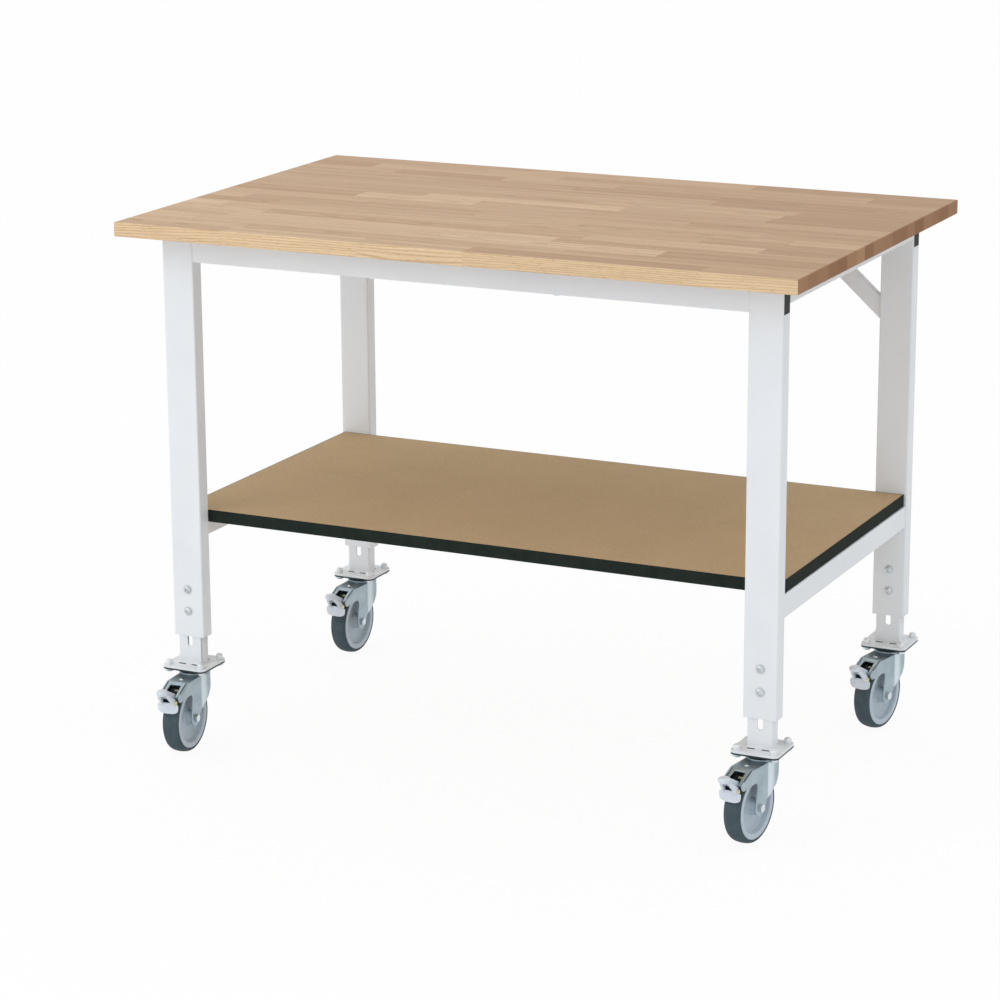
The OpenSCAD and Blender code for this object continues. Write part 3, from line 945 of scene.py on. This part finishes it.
@dataclass
class Worktop:
    """The glued beech board. Its staves are real faces, each with its own tone and grain. Staves
    are
    browner towards the right and the rear: painted shade, where less light falls on the board."""

    narrowest: float = 37.0
    widest: float = 52.0
    shortest: float = 190.0
    longest: float = 620.0
    offcut: float = 60.0
    arris: float = 1.3
    arris_steps: int = 4
    tone: float = 0.42
    tone_spread: float = 0.19
    # painted shade: how much darker and browner the staves grow to the right and to the rear
    painted_shade_right: float = 0.42
    painted_shade_rear: float = 0.3
    flat_sawn: float = 0.45
    edge_gold: float = 0.8
    arris_soak: float = 0.6
    seed: int = 11
    low: Vector = field(init=False)
    high: Vector = field(init=False)

    def __post_init__(self) -> None:
        """Takes the board's corners from the frame."""
        self.low, self.high = (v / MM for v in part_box("tabletop"))

    def rows(self, rng: random.Random) -> list[float]:
        """Lays out the glue lines between rows.

        Args:
            rng: the seeded source of widths.

        Returns:
            The Y of each line in millimetres, edges included.
        """
        y0, y1 = self.low.y + self.arris, self.high.y - self.arris
        widths = []
        while sum(widths) < y1 - y0:
            widths.append(rng.uniform(self.narrowest, self.widest))
        scale = (y1 - y0) / sum(widths)
        lines = [y0]
        for width in widths:
            lines.append(lines[-1] + width * scale)
        lines[-1] = y1
        return lines

    def butts(self, rng: random.Random) -> list[float]:
        """Lays out the butt joints of a row.

        Args:
            rng: the seeded source of lengths.

        Returns:
            The X of each joint in millimetres, ends included.
        """
        x0, x1 = self.low.x + self.arris, self.high.x - self.arris
        joints = [x0]
        reach = x0 - rng.uniform(0, self.longest * 0.6)
        while True:
            reach += rng.uniform(self.shortest, self.longest)
            if reach > x1 - self.offcut:
                break
            if reach - joints[-1] > self.offcut:
                joints.append(reach)
        return joints + [x1]

    def staves(self, rng: random.Random, lines: list[float], joints: list[list[float]]) -> dict:
        """Picks each stave from its tree.

        Args:
            rng: the seeded source.
            lines: the glue lines' Y.
            joints: each row's joints' X.

        Returns:
            By row and stave: tone and chance, and the heart as its lean, Y and Z.
        """
        found = {}
        for k, row in enumerate(joints):
            y = (lines[k] + lines[k + 1]) / 2
            for m in range(len(row) - 1):
                x = (row[m] + row[m + 1]) / 2
                # painted shade: darker and browner staves towards the right and the rear
                painted_shade = (self.painted_shade_right * max(x / row[-1], 0.0) +
                        self.painted_shade_rear * max(y / self.high.y, 0.0))
                tone = min(max(rng.gauss(self.tone, self.tone_spread) + painted_shade, 0.0), 1.0)
                if rng.random() < self.flat_sawn:
                    depth = rng.uniform(18, 45)
                    side = rng.uniform(-12, 12)
                    lean = rng.uniform(-0.045, 0.045)
                else:
                    depth = rng.uniform(60, 160)
                    side = rng.choice((-1, 1)) * rng.uniform(60, 200)
                    lean = rng.uniform(-0.01, 0.01)
                found[k, m] = ((tone, rng.random()),
                               (lean, (y + side) * MM, (self.high.z - depth) * MM))
        return found

    def profile(self) -> Outline:
        """Draws the section of the board's edge, with its arrises.

        Returns:
            How far out from the inset line and how high each point is, from the top down.
        """
        z0, z1, r = self.low.z, self.high.z, self.arris
        steps = [i * math.pi / 2 / self.arris_steps for i in range(self.arris_steps + 1)]
        upper = [(r * math.sin(a), z1 - r * (1 - math.cos(a))) for a in steps]
        return upper + [(out, z0 + z1 - z) for out, z in reversed(upper)]

    def shape(self) -> BMesh:
        """Builds the closed board, face by stave, with the stave's attributes.

        Returns:
            The board.
        """
        rng = random.Random(self.seed)
        lines = self.rows(rng)
        joints = [self.butts(rng) for _ in lines[1:]]
        staves = self.staves(rng, lines, joints)
        x0, x1 = joints[0][0], joints[0][-1]
        bm = bmesh.new()
        stave_layer = bm.faces.layers.float_color.new("stave")
        heart_layer = bm.faces.layers.float_vector.new("heart")
        section = self.profile()
        last, last_line = len(section) - 1, len(lines) - 1
        spots = [sorted(set(before + after)) for before, after in zip([[]] + joints, joints + [[]])]
        verts = {}

        def vert(k: int, x: float, level: int) -> BMVert:
            """Finds a vertex, or makes it.

            Args:
                k: the glue line's number from the front.
                x: its X in millimetres.
                level: the point of the edge's section.

            Returns:
                The vertex.
            """
            key = (k, round(x, 4), level)
            if key not in verts:
                out, z = section[level]
                dx = out * (x == x1) - out * (x == x0)
                dy = out * (k == last_line) - out * (k == 0)
                verts[key] = bm.verts.new(((x + dx) * MM, (lines[k] + dy) * MM, z * MM))
            return verts[key]

        def face(corners: list[BMVert], k: int, m: int, end: float = 0.0,
                 edge: float = 0.0) -> None:
            """Adds a face of a stave.

            Args:
                corners: its vertices in order.
                k: the row.
                m: the stave's number in the row.
                end: how much of it is end grain.
                edge: how golden it is, as the board's long edges are.
            """
            made = bm.faces.new(corners)
            drawn, heart = staves[k, m]
            made[stave_layer] = (*drawn, end, edge)
            made[heart_layer] = heart

        for k, row in enumerate(joints):
            for m in range(len(row) - 1):
                near, far = ([x for x in spots[j] if row[m] <= x <= row[m + 1]]
                             for j in (k, k + 1))
                for level in (0, last):
                    ring = [vert(k, x, level) for x in near]
                    ring += [vert(k + 1, x, level) for x in reversed(far)]
                    face(ring, k, m)
        for level in range(last):
            for k, row in ((0, 0), (last_line, last_line - 1)):
                for a, b in zip(spots[k], spots[k][1:]):
                    m = max(m for m, x in enumerate(joints[row][:-1]) if x <= (a + b) / 2)
                    face([vert(k, a, level), vert(k, a, level + 1), vert(k, b, level + 1),
                          vert(k, b, level)], row, m, edge=self.edge_gold)
            flat = self.arris_steps - 1 < level < last - self.arris_steps + 1
            for k, row in enumerate(joints):
                for x, m in ((x0, 0), (x1, len(row) - 2)):
                    face([vert(k, x, level), vert(k, x, level + 1), vert(k + 1, x, level + 1),
                          vert(k + 1, x, level)], k, m, end=1.0 if flat else self.arris_soak)
        bmesh.ops.recalc_face_normals(bm, faces=bm.faces)
        return bm

    def build(self) -> None:
        """Makes the board in place of the CAD one."""
        piece(self.shape(), "worktop_board", "frame", OILED_BEECH, ("tabletop",), 30)


# ---------------------------------------------------------------- frame


@dataclass(frozen=True)
class CadPiece:
    """A piece of the frame that keeps its CAD node's shape, with its long edges eased."""

    node: str
    name: str
    finish: Finish
    radius: float = 0.0
    shortest: float = 60.0
    steps: int = 3

    def build(self) -> None:
        """Makes the piece in place of its node."""
        bm = cad_copy(self.node)
        if self.radius:
            ease(bm, self.radius, self.shortest, self.steps)
        piece(bm, self.name, "frame", self.finish, (self.node,))


RAIL_BEND, BRACE_BEND, SAWN_END = 1.6, 1.4, 0.0       # rounding of the tubes' long edges
FRAME_PIECES = (
    *(CadPiece(node, "tube_" + node, WHITE_COAT, bend) for node, bend in (
        ("front_rail", RAIL_BEND), ("rear_rail", RAIL_BEND), ("left_top_rail", RAIL_BEND),
        ("right_top_rail", RAIL_BEND), ("left_shelf_rail", RAIL_BEND),
        ("right_shelf_rail", RAIL_BEND), ("left_brace", BRACE_BEND),
        ("right_brace", BRACE_BEND), ("outer_leg_fl", SAWN_END), ("outer_leg_fr", SAWN_END),
        ("outer_leg_rl", SAWN_END), ("outer_leg_rr", SAWN_END))),
    CadPiece("rail_end_caps", "end_plugs", BLACK_PLUG, 0.6, 4.0, 2),
    CadPiece("tabletop_screws", "wood_tabletop_screws", BRIGHT_ZINC, 0.5, 0.2, 2),
    CadPiece("shelf_screws", "wood_shelf_screws", BRIGHT_ZINC, 0.5, 0.2, 2),
    CadPiece("shelf_board", "shelf_fibreboard", HARD_BOARD),
    CadPiece("shelf_edge_band", "shelf_band", BLACK_BAND, 0.9, 15.0, 3))


@dataclass
class LegBolts:
    """Button-head bolts with a washer and a hexagon socket, two to a leg, and their nuts."""

    washer_r: float = 8.0
    washer_t: float = 1.5
    head_r: float = 7.0
    head_h: float = 4.0
    socket_af: float = 5.0
    nut_af: float = 13.0
    nut_h: float = 6.5
    shank_r: float = 4.0
    tail: float = 8.0

    def head(self) -> BMesh:
        """Builds washer and head, standing on the XY plane and looking up Z.

        Returns:
            The closed shape.
        """
        t, r, h, w = self.washer_t, self.head_r, self.head_h, self.washer_r
        socket = self.socket_af / 2 / math.cos(math.pi / 6)
        dome = [(r * math.cos(a), t + 0.4 + (h - 0.4) * math.sin(a))
                for a in (0.0, 0.3, 0.6, 0.9, 1.1)]
        top = dome[-1][1]
        return turned([(0.2, 0.0), (w - 0.2, 0.0), (w, 0.3), (w, t - 0.3), (w - 0.3, t),
                       (r - 0.1, t), *dome, (socket + 0.35, top), (socket, top - 0.4),
                       (socket, top - 2.4), (0.2, top - 2.6)], UPRIGHT, 48)

    def nut(self) -> BMesh:
        """Builds a chamfered nut on the bolt's tail, standing on the XY plane.

        Returns:
            Nut and tail.
        """
        bm = hexagon(self.nut_af, self.nut_h, 0.7)
        bmesh.ops.create_cone(bm, cap_ends=True, segments=24, radius1=self.shank_r * MM,
                              radius2=self.shank_r * 0.85 * MM, depth=self.tail * MM,
                              matrix=Matrix.Translation((0, 0, self.tail / 2 * MM)))
        return bm

    def build(self) -> None:
        """Sets heads out on the legs' fronts and nuts behind them."""
        head, nut = from_bmesh(self.head(), "bolt_head"), from_bmesh(self.nut(), "bolt_nut")
        bolts_low, bolts_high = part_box("leg_bolts")
        z = (bolts_low.z + bolts_high.z) / 2
        pitch = bolts_high.z - bolts_low.z - 2 * self.washer_r * MM
        for n, corner in enumerate(Corner):
            low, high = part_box("outer_leg_" + corner.value)
            for mesh, y, facing, name, node in (
                    (head, low.y, math.pi / 2, "leg_bolt_heads_", "leg_bolts"),
                    (nut, high.y, -math.pi / 2, "leg_bolt_nuts_", "leg_nuts")):
                grid = GRID.set_out(mesh, BOLT_ZINC, Columns=1, Rows=2, Width=0.0, Height=pitch,
                                    Place=((low.x + high.x) / 2, y, z), Facing=(facing, 0.0, 0.0))
                piece(grid, name + corner.value, "frame", BOLT_ZINC, () if n else (node,))


# ---------------------------------------------------------------- feet


@dataclass
class Foot:
    """An inner foot tube welded to its plate, the caster plate below and the bolts that join
    them."""

    corner: Corner
    tube_w: float = 46.0
    tube_d: float = 25.0
    tube_corner: float = 3.0
    plate_t: float = 4.0
    plate_half: float = 36.0
    pitch: float = 65.0
    cap_r: float = 6.4
    cap_h: float = 10.0
    hex_af: float = 13.0
    hex_h: float = 5.3
    bead: float = 1.3
    ripple: float = 2.2
    plate_round: float = 0.8
    under_round: float = 0.7
    eased_from: float = 40.0
    slack: float = 0.5

    def cap_nut(self) -> BMesh:
        """Builds a round capped nut, standing on the XY plane.

        Returns:
            The closed shape.
        """
        r, h = self.cap_r, self.cap_h
        dome = [(r * math.cos(a), h * 0.5 + h * 0.5 * math.sin(a))
                for a in (0.25, 0.5, 0.75, 1.0, 1.25, 1.5)]
        return turned([(0.2, 0.0), (r, 0.0), (r, h * 0.45), *dome, (0.2, h)], UPRIGHT, 32)

    def tube(self, node: str) -> BMesh:
        """Copies the foot tube with its plate, and marks the walls of the slots in the plate for
        painted shade.

        Args:
            node: the CAD node.

        Returns:
            The shape, with the painted slot shade marked on its faces.
        """
        low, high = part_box(node)
        centre = (low + high) / 2
        bm = ease(cad_copy(node), self.plate_round, self.eased_from)
        # painted shade: the plate's slot walls are marked to be coloured dark
        slot_wall_shade = bm.faces.layers.float.new("slot_wall_shade")
        for face in bm.faces:
            middle = face.calc_center_median()
            out = middle - centre
            face[slot_wall_shade] = float(
                abs(face.normal.z) < 0.1 and middle.z < low.z + self.plate_t * MM and
                max(abs(out.x), abs(out.y)) < self.plate_half * MM and
                max(v.co.z for v in face.verts) < low.z + (self.plate_t + self.slack) * MM)
        return bm

    def build(self) -> None:
        """Makes the foot tube with its plate and weld, the caster plate and the fasteners."""
        c = self.corner.value
        foot = "foot_" + c
        piece(self.tube(foot), "foot_tube_" + c, foot, WHITE_COAT, (foot,))
        under = "caster_plate_" + c
        piece(ease(cad_copy(under), self.under_round, self.eased_from),
              "caster_plate_pressed_" + c, foot, RACE_ZINC, (under,))
        low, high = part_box(foot)
        x, y = (low.x + high.x) / 2, (low.y + high.y) / 2
        bolts = "plate_bolts_" + c
        low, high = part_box(bolts)
        plate_top, plate_under = high.z - self.cap_h * MM, low.z + self.hex_h * MM
        head = hexagon(self.hex_af, self.hex_h, 0.8, -self.hex_h)
        for shape, z, name, finish, nodes in (
                (self.cap_nut(), plate_top, "cap_nuts_", CAP_ZINC, (bolts,)),
                (head, plate_under, "plate_bolt_heads_", BRIGHT_ZINC, ())):
            grid = GRID.set_out(from_bmesh(shape, name), finish, Columns=2, Rows=2,
                                Width=self.pitch * MM, Height=self.pitch * MM,
                                Place=(x, y, z), Facing=(0.0, 0.0, 0.0))
            piece(grid, name + c, foot, finish, nodes)
        weld = WELD.run(WHITE_COAT, Width=self.tube_w * MM, Depth=self.tube_d * MM,
                        Corner=self.tube_corner * MM, Bead=self.bead * MM,
                        Ripple=self.ripple * MM, Place=(x, y, plate_top))
        piece(weld, "foot_weld_" + c, foot, WHITE_COAT)


# ---------------------------------------------------------------- casters


@dataclass
class Caster:
    """One braked swivel caster: pressed fork, wheel, tyre, axle, spring and brake pedal. Its
    shapes are drawn in the axle's frame: X along the axle, Y behind it, Z up."""

    corner: Corner
    wheel_r: float = 62.5
    tyre_w: float = 32.0
    seat_r: float = 55.0
    ring_r: float = 28.0
    pin: tuple[float, float] = (-53.99, 53.06)
    sheet_voxel: float = 0.75
    sheet_passes: int = 3
    pedal_voxel: float = 0.55
    pedal_passes: int = 14
    axle_frame: Matrix = field(init=False)

    def __post_init__(self) -> None:
        """Finds the axle's frame from the wheel's joint."""
        joint = next(j for j in frame["joints"] if j["name"] == self.named("wheel_spin"))
        x, z = Vector(joint["axis"]).normalized(), Vector((0, 0, 1))
        turn = Matrix((x, z.cross(x), z)).transposed().to_4x4()
        self.axle_frame = Matrix.Translation(Vector(joint["pos_m"])) @ turn

    def named(self, stem: str) -> str:
        """Returns a piece's, node's or body's name at this corner."""
        return f"{stem}_{self.corner.value}"

    def eased(self, node: str, radius: float, shortest: float) -> BMesh:
        """Copies one of this caster's CAD nodes, and eases its edges as ease() does."""
        return ease(cad_copy(self.named(node)), radius, shortest)

    def fitted(self, shape: Shape) -> Shape:
        """Moves a shape from the axle's frame to its place, and hands it back."""
        shape.transform(self.axle_frame)
        return shape

    def tyre(self) -> BMesh:
        """Turns the tread: a nearly flat face, rounded shoulders and a bead against the rim.

        Returns:
            The closed shape, in its place.
        """
        r, w, s = self.wheel_r, self.tyre_w / 2, self.seat_r
        half = [(s, w - 1.2), (s + 0.4, w - 0.5), (s + 1.2, w - 0.1), (s + 1.8, w - 0.1),
                (r - 4.6, w - 0.8), (r - 3.4, w - 1.7), (r - 2.3, w - 3.2), (r - 1.4, w - 5.2),
                (r - 0.7, w - 8.0), (r - 0.2, w - 12.0), (r, w - 15.5)]
        return turned(mirrored(half), self.axle_frame, 128)

    def rim(self) -> BMesh:
        """Turns the wheel centre: raised ring, dished disc and hub with its thread guard.

        Returns:
            The closed shape, in its place.
        """
        s = self.seat_r
        half = [(4.05, 18.0), (11.6, 18.0), (12.6, 17.6), (13.0, 16.8), (13.3, 9.0), (14.2, 6.2),
                (16.5, 5.0), (20.0, 4.7), (36.0, 4.3), (40.0, 4.6), (42.5, 5.6), (43.8, 7.4),
                (44.8, 13.2), (45.5, 14.9), (46.8, 15.5), (s - 1.3, 15.5), (s - 0.4, 15.1),
                (s, 14.4)]
        return turned(mirrored(half), self.axle_frame, 128)

    def fork(self) -> bpy.types.Mesh:
        """Softens the fork's CAD shape into pressed sheet, with a painted highlight band on it.

        Returns:
            The closed mesh, in its place, with "drawn" on its points: where the painted highlight
            lies.
        """
        back = self.axle_frame.inverted()
        bm = cad_copy(self.named("fork"))
        bm.transform(back)
        # the cover is a separate pressing: a slit runs down each side of it
        slit = [(-23.0, 75.5), (-60.5, 58.4), (-61.5, 51.0), (-23.0, 68.5)]
        slits = (plate(slit, -18.5, -16.6), plate(slit, 16.6, 18.5))
        mesh = moulded([bm], self.axle_frame, self.sheet_voxel, self.sheet_passes, slits)
        # painted highlight: a pale band where the cheek rolls into the round skirt
        shine = mesh.attributes.new("drawn", "FLOAT", "POINT")
        for vert in mesh.vertices:
            x, y = ((back @ vert.co) / MM)[:2]
            rise = min(max((y - 22.5) / 2.5, 0.0), 1.0)
            fall = min(max((39.0 - y) / 9.0, 0.0), 1.0)
            shine.data[vert.index].value = rise * fall if abs(x) > 20.0 else 0.0
        return mesh

    def ring(self) -> BMesh:
        """Turns the swivel ring: a rolled lip round a shallow groove.

        Returns:
            The closed shape, in its place.
        """
        low, high = (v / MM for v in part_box(self.named("swivel_ring")))
        centre = (low + high) / 2 * MM
        h, r, bore = high.z - low.z, self.ring_r, 6.1
        outline = [(bore, 0.0), (r - 1.0, 0.0), (r - 0.3, 0.3), (r, 1.0), (r, h - 1.0),
                   (r - 0.3, h - 0.3), (r - 1.0, h), (r - 2.2, h), (r - 2.8, h - 0.5),
                   (r - 3.2, h - 1.2), (bore, h - 1.2)]
        return turned(outline, Matrix.Translation((centre.x, centre.y, low.z * MM)) @ UPRIGHT)

    def rivet(self) -> BMesh:
        """Rounds the rivet's head on the fork's top.

        Returns:
            The closed shape, in the axle's frame.
        """
        bm = bmesh.new()
        bmesh.ops.create_uvsphere(bm, u_segments=32, v_segments=20, radius=1.0)
        bmesh.ops.scale(bm, vec=Vector((4.2, 4.2, 2.2)) * MM, verts=bm.verts)
        bmesh.ops.translate(bm, vec=Vector((0, -9, self.wheel_r + 10)) * MM, verts=bm.verts)
        return bm

    def apron(self) -> BMesh:
        """Bends the pedal's apron: straight along its top, round below, and bowed.

        Returns:
            The closed shape, in the axle's frame.
        """
        y, z = self.pin
        rim = []
        for angle in range(0, 181, 12):
            c, s = math.cos(math.radians(angle)), math.sin(math.radians(angle))
            rim.append((20.5 * math.copysign(abs(c) ** 0.6, c), z - 15 - 12 * abs(s) ** 0.7))
        rim += [(-20.5, z - 10.5), (-17, z - 8.5), (-6, z - 6.8), (6, z - 6.8), (17, z - 8.5),
                (20.5, z - 10.5)]
        return bridged([(x, y - 9.0 - 0.002 * x * x, q) for x, q in rim],
                       [(x, y - 13.0 + 0.004 * x * x, q) for x, q in rim])

    def pedal(self) -> bpy.types.Mesh:
        """Moulds the pedal: a round toe knob on its arm, two legs with a slot between them, and
        the apron.

        Returns:
            The closed mesh, in its place.
        """
        y, z = self.pin
        outline = [(0.3, 0.0), (8.8, 0.0), (9.9, 0.9), (10.8, 4.2), (10.8, 5.6), (10.2, 7.4),
                   (8.6, 8.9), (6.0, 9.8), (3.0, 10.2), (0.3, 10.3)]
        top = Matrix.Translation(Vector((0, y - 30, z + 12.5)) * MM) @ UPRIGHT
        arm = hull(((-8, -27, 14), (8, -24, 20.5)), ((-8.5, -5, -4), (9.5, 2, 6.2)), at=self.pin)
        legs = [hull(((-8.5, -32, 13), (-5, -27, 16)), ((-14.5, -13, -12), (-9.5, -8, -1)),
                     at=self.pin),
                hull(((5, -32, 13), (8.5, -27, 16)), ((10.5, -13, -12), (15, -8, -1)),
                     at=self.pin)]
        lumps = [turned(outline, top, 64), arm, *legs, self.apron()]
        return moulded(lumps, self.axle_frame, self.pedal_voxel, self.pedal_passes)

    def put(self, shape: Shape, stem: str, body: str, finish: Finish, node: str = "",
            angle: float = SMOOTH_BELOW) -> None:
        """Makes one piece of this caster; its names go without the corner.

        Args:
            shape: the shape, in its place.
            stem: the piece's name.
            body: the body that it rides on.
            finish: its surface finish.
            node: the CAD node that it replaces, if it replaces one.
            angle: edges sharper than this many degrees stay sharp.
        """
        nodes = (self.named(node),) if node else ()
        piece(shape, self.named(stem), self.named(body), finish, nodes, angle)

    def build(self) -> None:
        """Makes the caster's pieces on its three bodies."""
        y, z = self.pin
        self.put(self.fork(), "fork_pressed", "fork", PRESSED_ZINC, "fork", 50)
        self.put(self.ring(), "ring_rolled", "fork", PRESSED_ZINC, "swivel_ring")
        self.put(self.eased("axle", 0.6, 2.0), "axle_bolt", "fork", BRIGHT_ZINC, "axle")
        self.put(self.fitted(self.rivet()), "head_rivet", "fork", BRIGHT_ZINC)
        coil = SPRING.run(GOLD_ZINC, Turns=5.0, Radius=1.8 * MM, Length=9 * MM, Wire=0.5 * MM,
                          Place=(2 * MM, -38.5 * MM, 60.5 * MM))
        self.put(self.fitted(coil), "brake_spring", "fork", GOLD_ZINC)
        # painted shade: a black sheet that fills the fork's window, standing in for the shadow
        # inside it
        window_shade = plate([(-30.0, 63.5), (-46.0, 56.2), (-45.2, 54.4), (-29.2, 61.7)], -16.0, 16.0)
        self.put(self.fitted(ease(window_shade, 0.5, 5.0)), "brake_lever", "fork", PAINTED_SHADE_SHEET)
        self.put(self.tyre(), "tread", "wheel", TREAD, "tyre", 60)
        self.put(self.rim(), "wheel_centre", "wheel", RIM_PLASTIC, "rim", 50)
        self.put(self.pedal(), "pedal_moulded", "pedal", PEDAL_PLASTIC, "pedal", 70)
        # painted shade: a black sheet behind the pedal's slot, standing in for the shadow in it
        slot_shade = ease(block((-13, y - 8.2, z - 11), (13, y - 7.2, z - 1)), 0.3, 0.5)
        self.put(self.fitted(slot_shade), "spring_leaf", "pedal", PAINTED_SHADE_SHEET)
        shoe = self.eased("brake_shoe", 0.4, 3.0)
        tab = ease(block((9.8, y - 14.4, z - 9), (17.6, y - 8, z - 2.5)), 0.5, 1.0)
        shoe.from_mesh(from_bmesh(self.fitted(tab), "tab"))
        self.put(shoe, "shoe_bracket", "pedal", GOLD_ZINC, "brake_shoe")


# ---------------------------------------------------------------- studio


@dataclass
class Studio:
    """A plain pale floor, a white room, soft lamps and the camera."""

    eye: Point = (2.3631, -5.0493, 1.9458)
    yaw: float = 25.756
    pitch: float = 15.078
    roll: float = -0.321
    lens: float = 116.89
    room: float = 0.92
    floor_half: float = 60.0
    floor_z: float = -0.0005
    floor_glow: float = 0.93
    aim: Point = (0.0, 0.0, 0.5)

    def camera(self) -> None:
        """Stands the camera where it looks at the bench from the front right, above."""
        data = bpy.data.cameras.new("camera")
        data.sensor_width = 36.0
        data.lens = self.lens
        data.clip_end = 200.0
        yaw, pitch, roll = (math.radians(v) for v in (self.yaw, self.pitch, self.roll))
        ahead = Vector((-math.sin(yaw) * math.cos(pitch), math.cos(yaw) * math.cos(pitch),
                        -math.sin(pitch)))
        right = ahead.cross(Vector((0, 0, 1))).normalized()
        up = right.cross(ahead)
        across = right * math.cos(roll) + up * math.sin(roll)
        upward = up * math.cos(roll) - right * math.sin(roll)
        turn = Matrix((across, upward, -ahead)).transposed().to_4x4()
        camera = linked("camera", data)
        camera.matrix_world = Matrix.Translation(Vector(self.eye)) @ turn
        bpy.context.scene.camera = camera

    def seen(self, tree: Tree) -> Socket:
        """Tells the rays that should see plain white.

        Args:
            tree: the tree that asks.

        Returns:
            1 for rays from the camera, off gloss or through glass.
        """
        camera, glossy, through = (add(tree, "LightPath", out=f"Is {kind} Ray")
                                   for kind in ("Camera", "Glossy", "Transmission"))
        either = add(tree, "Math", camera, glossy, operation="MAXIMUM")
        return add(tree, "Math", either, through, operation="MAXIMUM")

    def world(self) -> None:
        """Lights the room evenly, and shows it white."""
        bpy.context.scene.world = bpy.data.worlds.new("room")
        tree = emptied(bpy.context.scene.world)
        strength = add(tree, "MapRange", self.seen(tree), 0.0, 1.0, self.room, 1.0)
        add(tree, "OutputWorld", add(tree, "Background", WHITE, strength))

    def floor(self) -> None:
        """Lays the floor, white but for the bench's soft shadow."""
        bm = bmesh.new()
        s, z = self.floor_half, self.floor_z
        bm.faces.new([bm.verts.new(v) for v in ((-s, -s, z), (s, -s, z), (s, s, z), (-s, s, z))])
        obj = linked("floor", from_bmesh(bm, "floor"))
        made = bpy.data.materials.new("pale_floor")
        tree = emptied(made)
        speck = add(tree, "TexNoise", add(tree, "TexCoord", out="Object"), Scale=3.0, Detail=3.0)
        tone = add(tree, "MapRange", speck, 0.3, 0.7, 0.91, 0.93)
        matt = add(tree, "BsdfDiffuse", add(tree, "CombineColor", tone, tone, tone))
        glow = add(tree, "Emission", WHITE, 1.0)
        shown = add(tree, "Math", self.seen(tree), self.floor_glow, operation="MULTIPLY")
        add(tree, "OutputMaterial", add(tree, "MixShader", shown, matt, glow))
        obj.data.materials.append(made)

    def lamp(self, name: str, place: Point, size: float, power: float) -> None:
        """Hangs one soft square lamp aimed at the bench.

        Args:
            name: the lamp's name.
            place: where it hangs, in metres.
            size: its side in metres.
            power: its power in watts.
        """
        data = bpy.data.lights.new(name, "AREA")
        data.size = size
        data.energy = power
        lamp = linked(name, data)
        lamp.location = place
        aim = Vector(self.aim) - Vector(place)
        lamp.rotation_euler = aim.to_track_quat("-Z", "Y").to_euler()

    def build(self) -> None:
        """Sets camera, lamps, room and floor."""
        self.camera()
        self.world()
        self.floor()
        self.lamp("key", (-2.6, -3.4, 3.2), 2.6, 30.0)
        self.lamp("front_fill", (-0.6, -5.6, 0.7), 2.2, 26.0)
        bpy.context.scene.view_settings.view_transform = "Standard"


def main() -> None:
    """Builds the bench piece by piece, then its studio."""
    logging.basicConfig(level=logging.INFO, format="%(message)s")
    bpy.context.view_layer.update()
    Studio().build()
    Worktop().build()
    for frame_piece in FRAME_PIECES:
        frame_piece.build()
    LegBolts().build()
    for corner in Corner:
        Foot(corner).build()
        Caster(corner).build()
    LOG.info("sizes written")


if __name__ == "__main__":
    main()
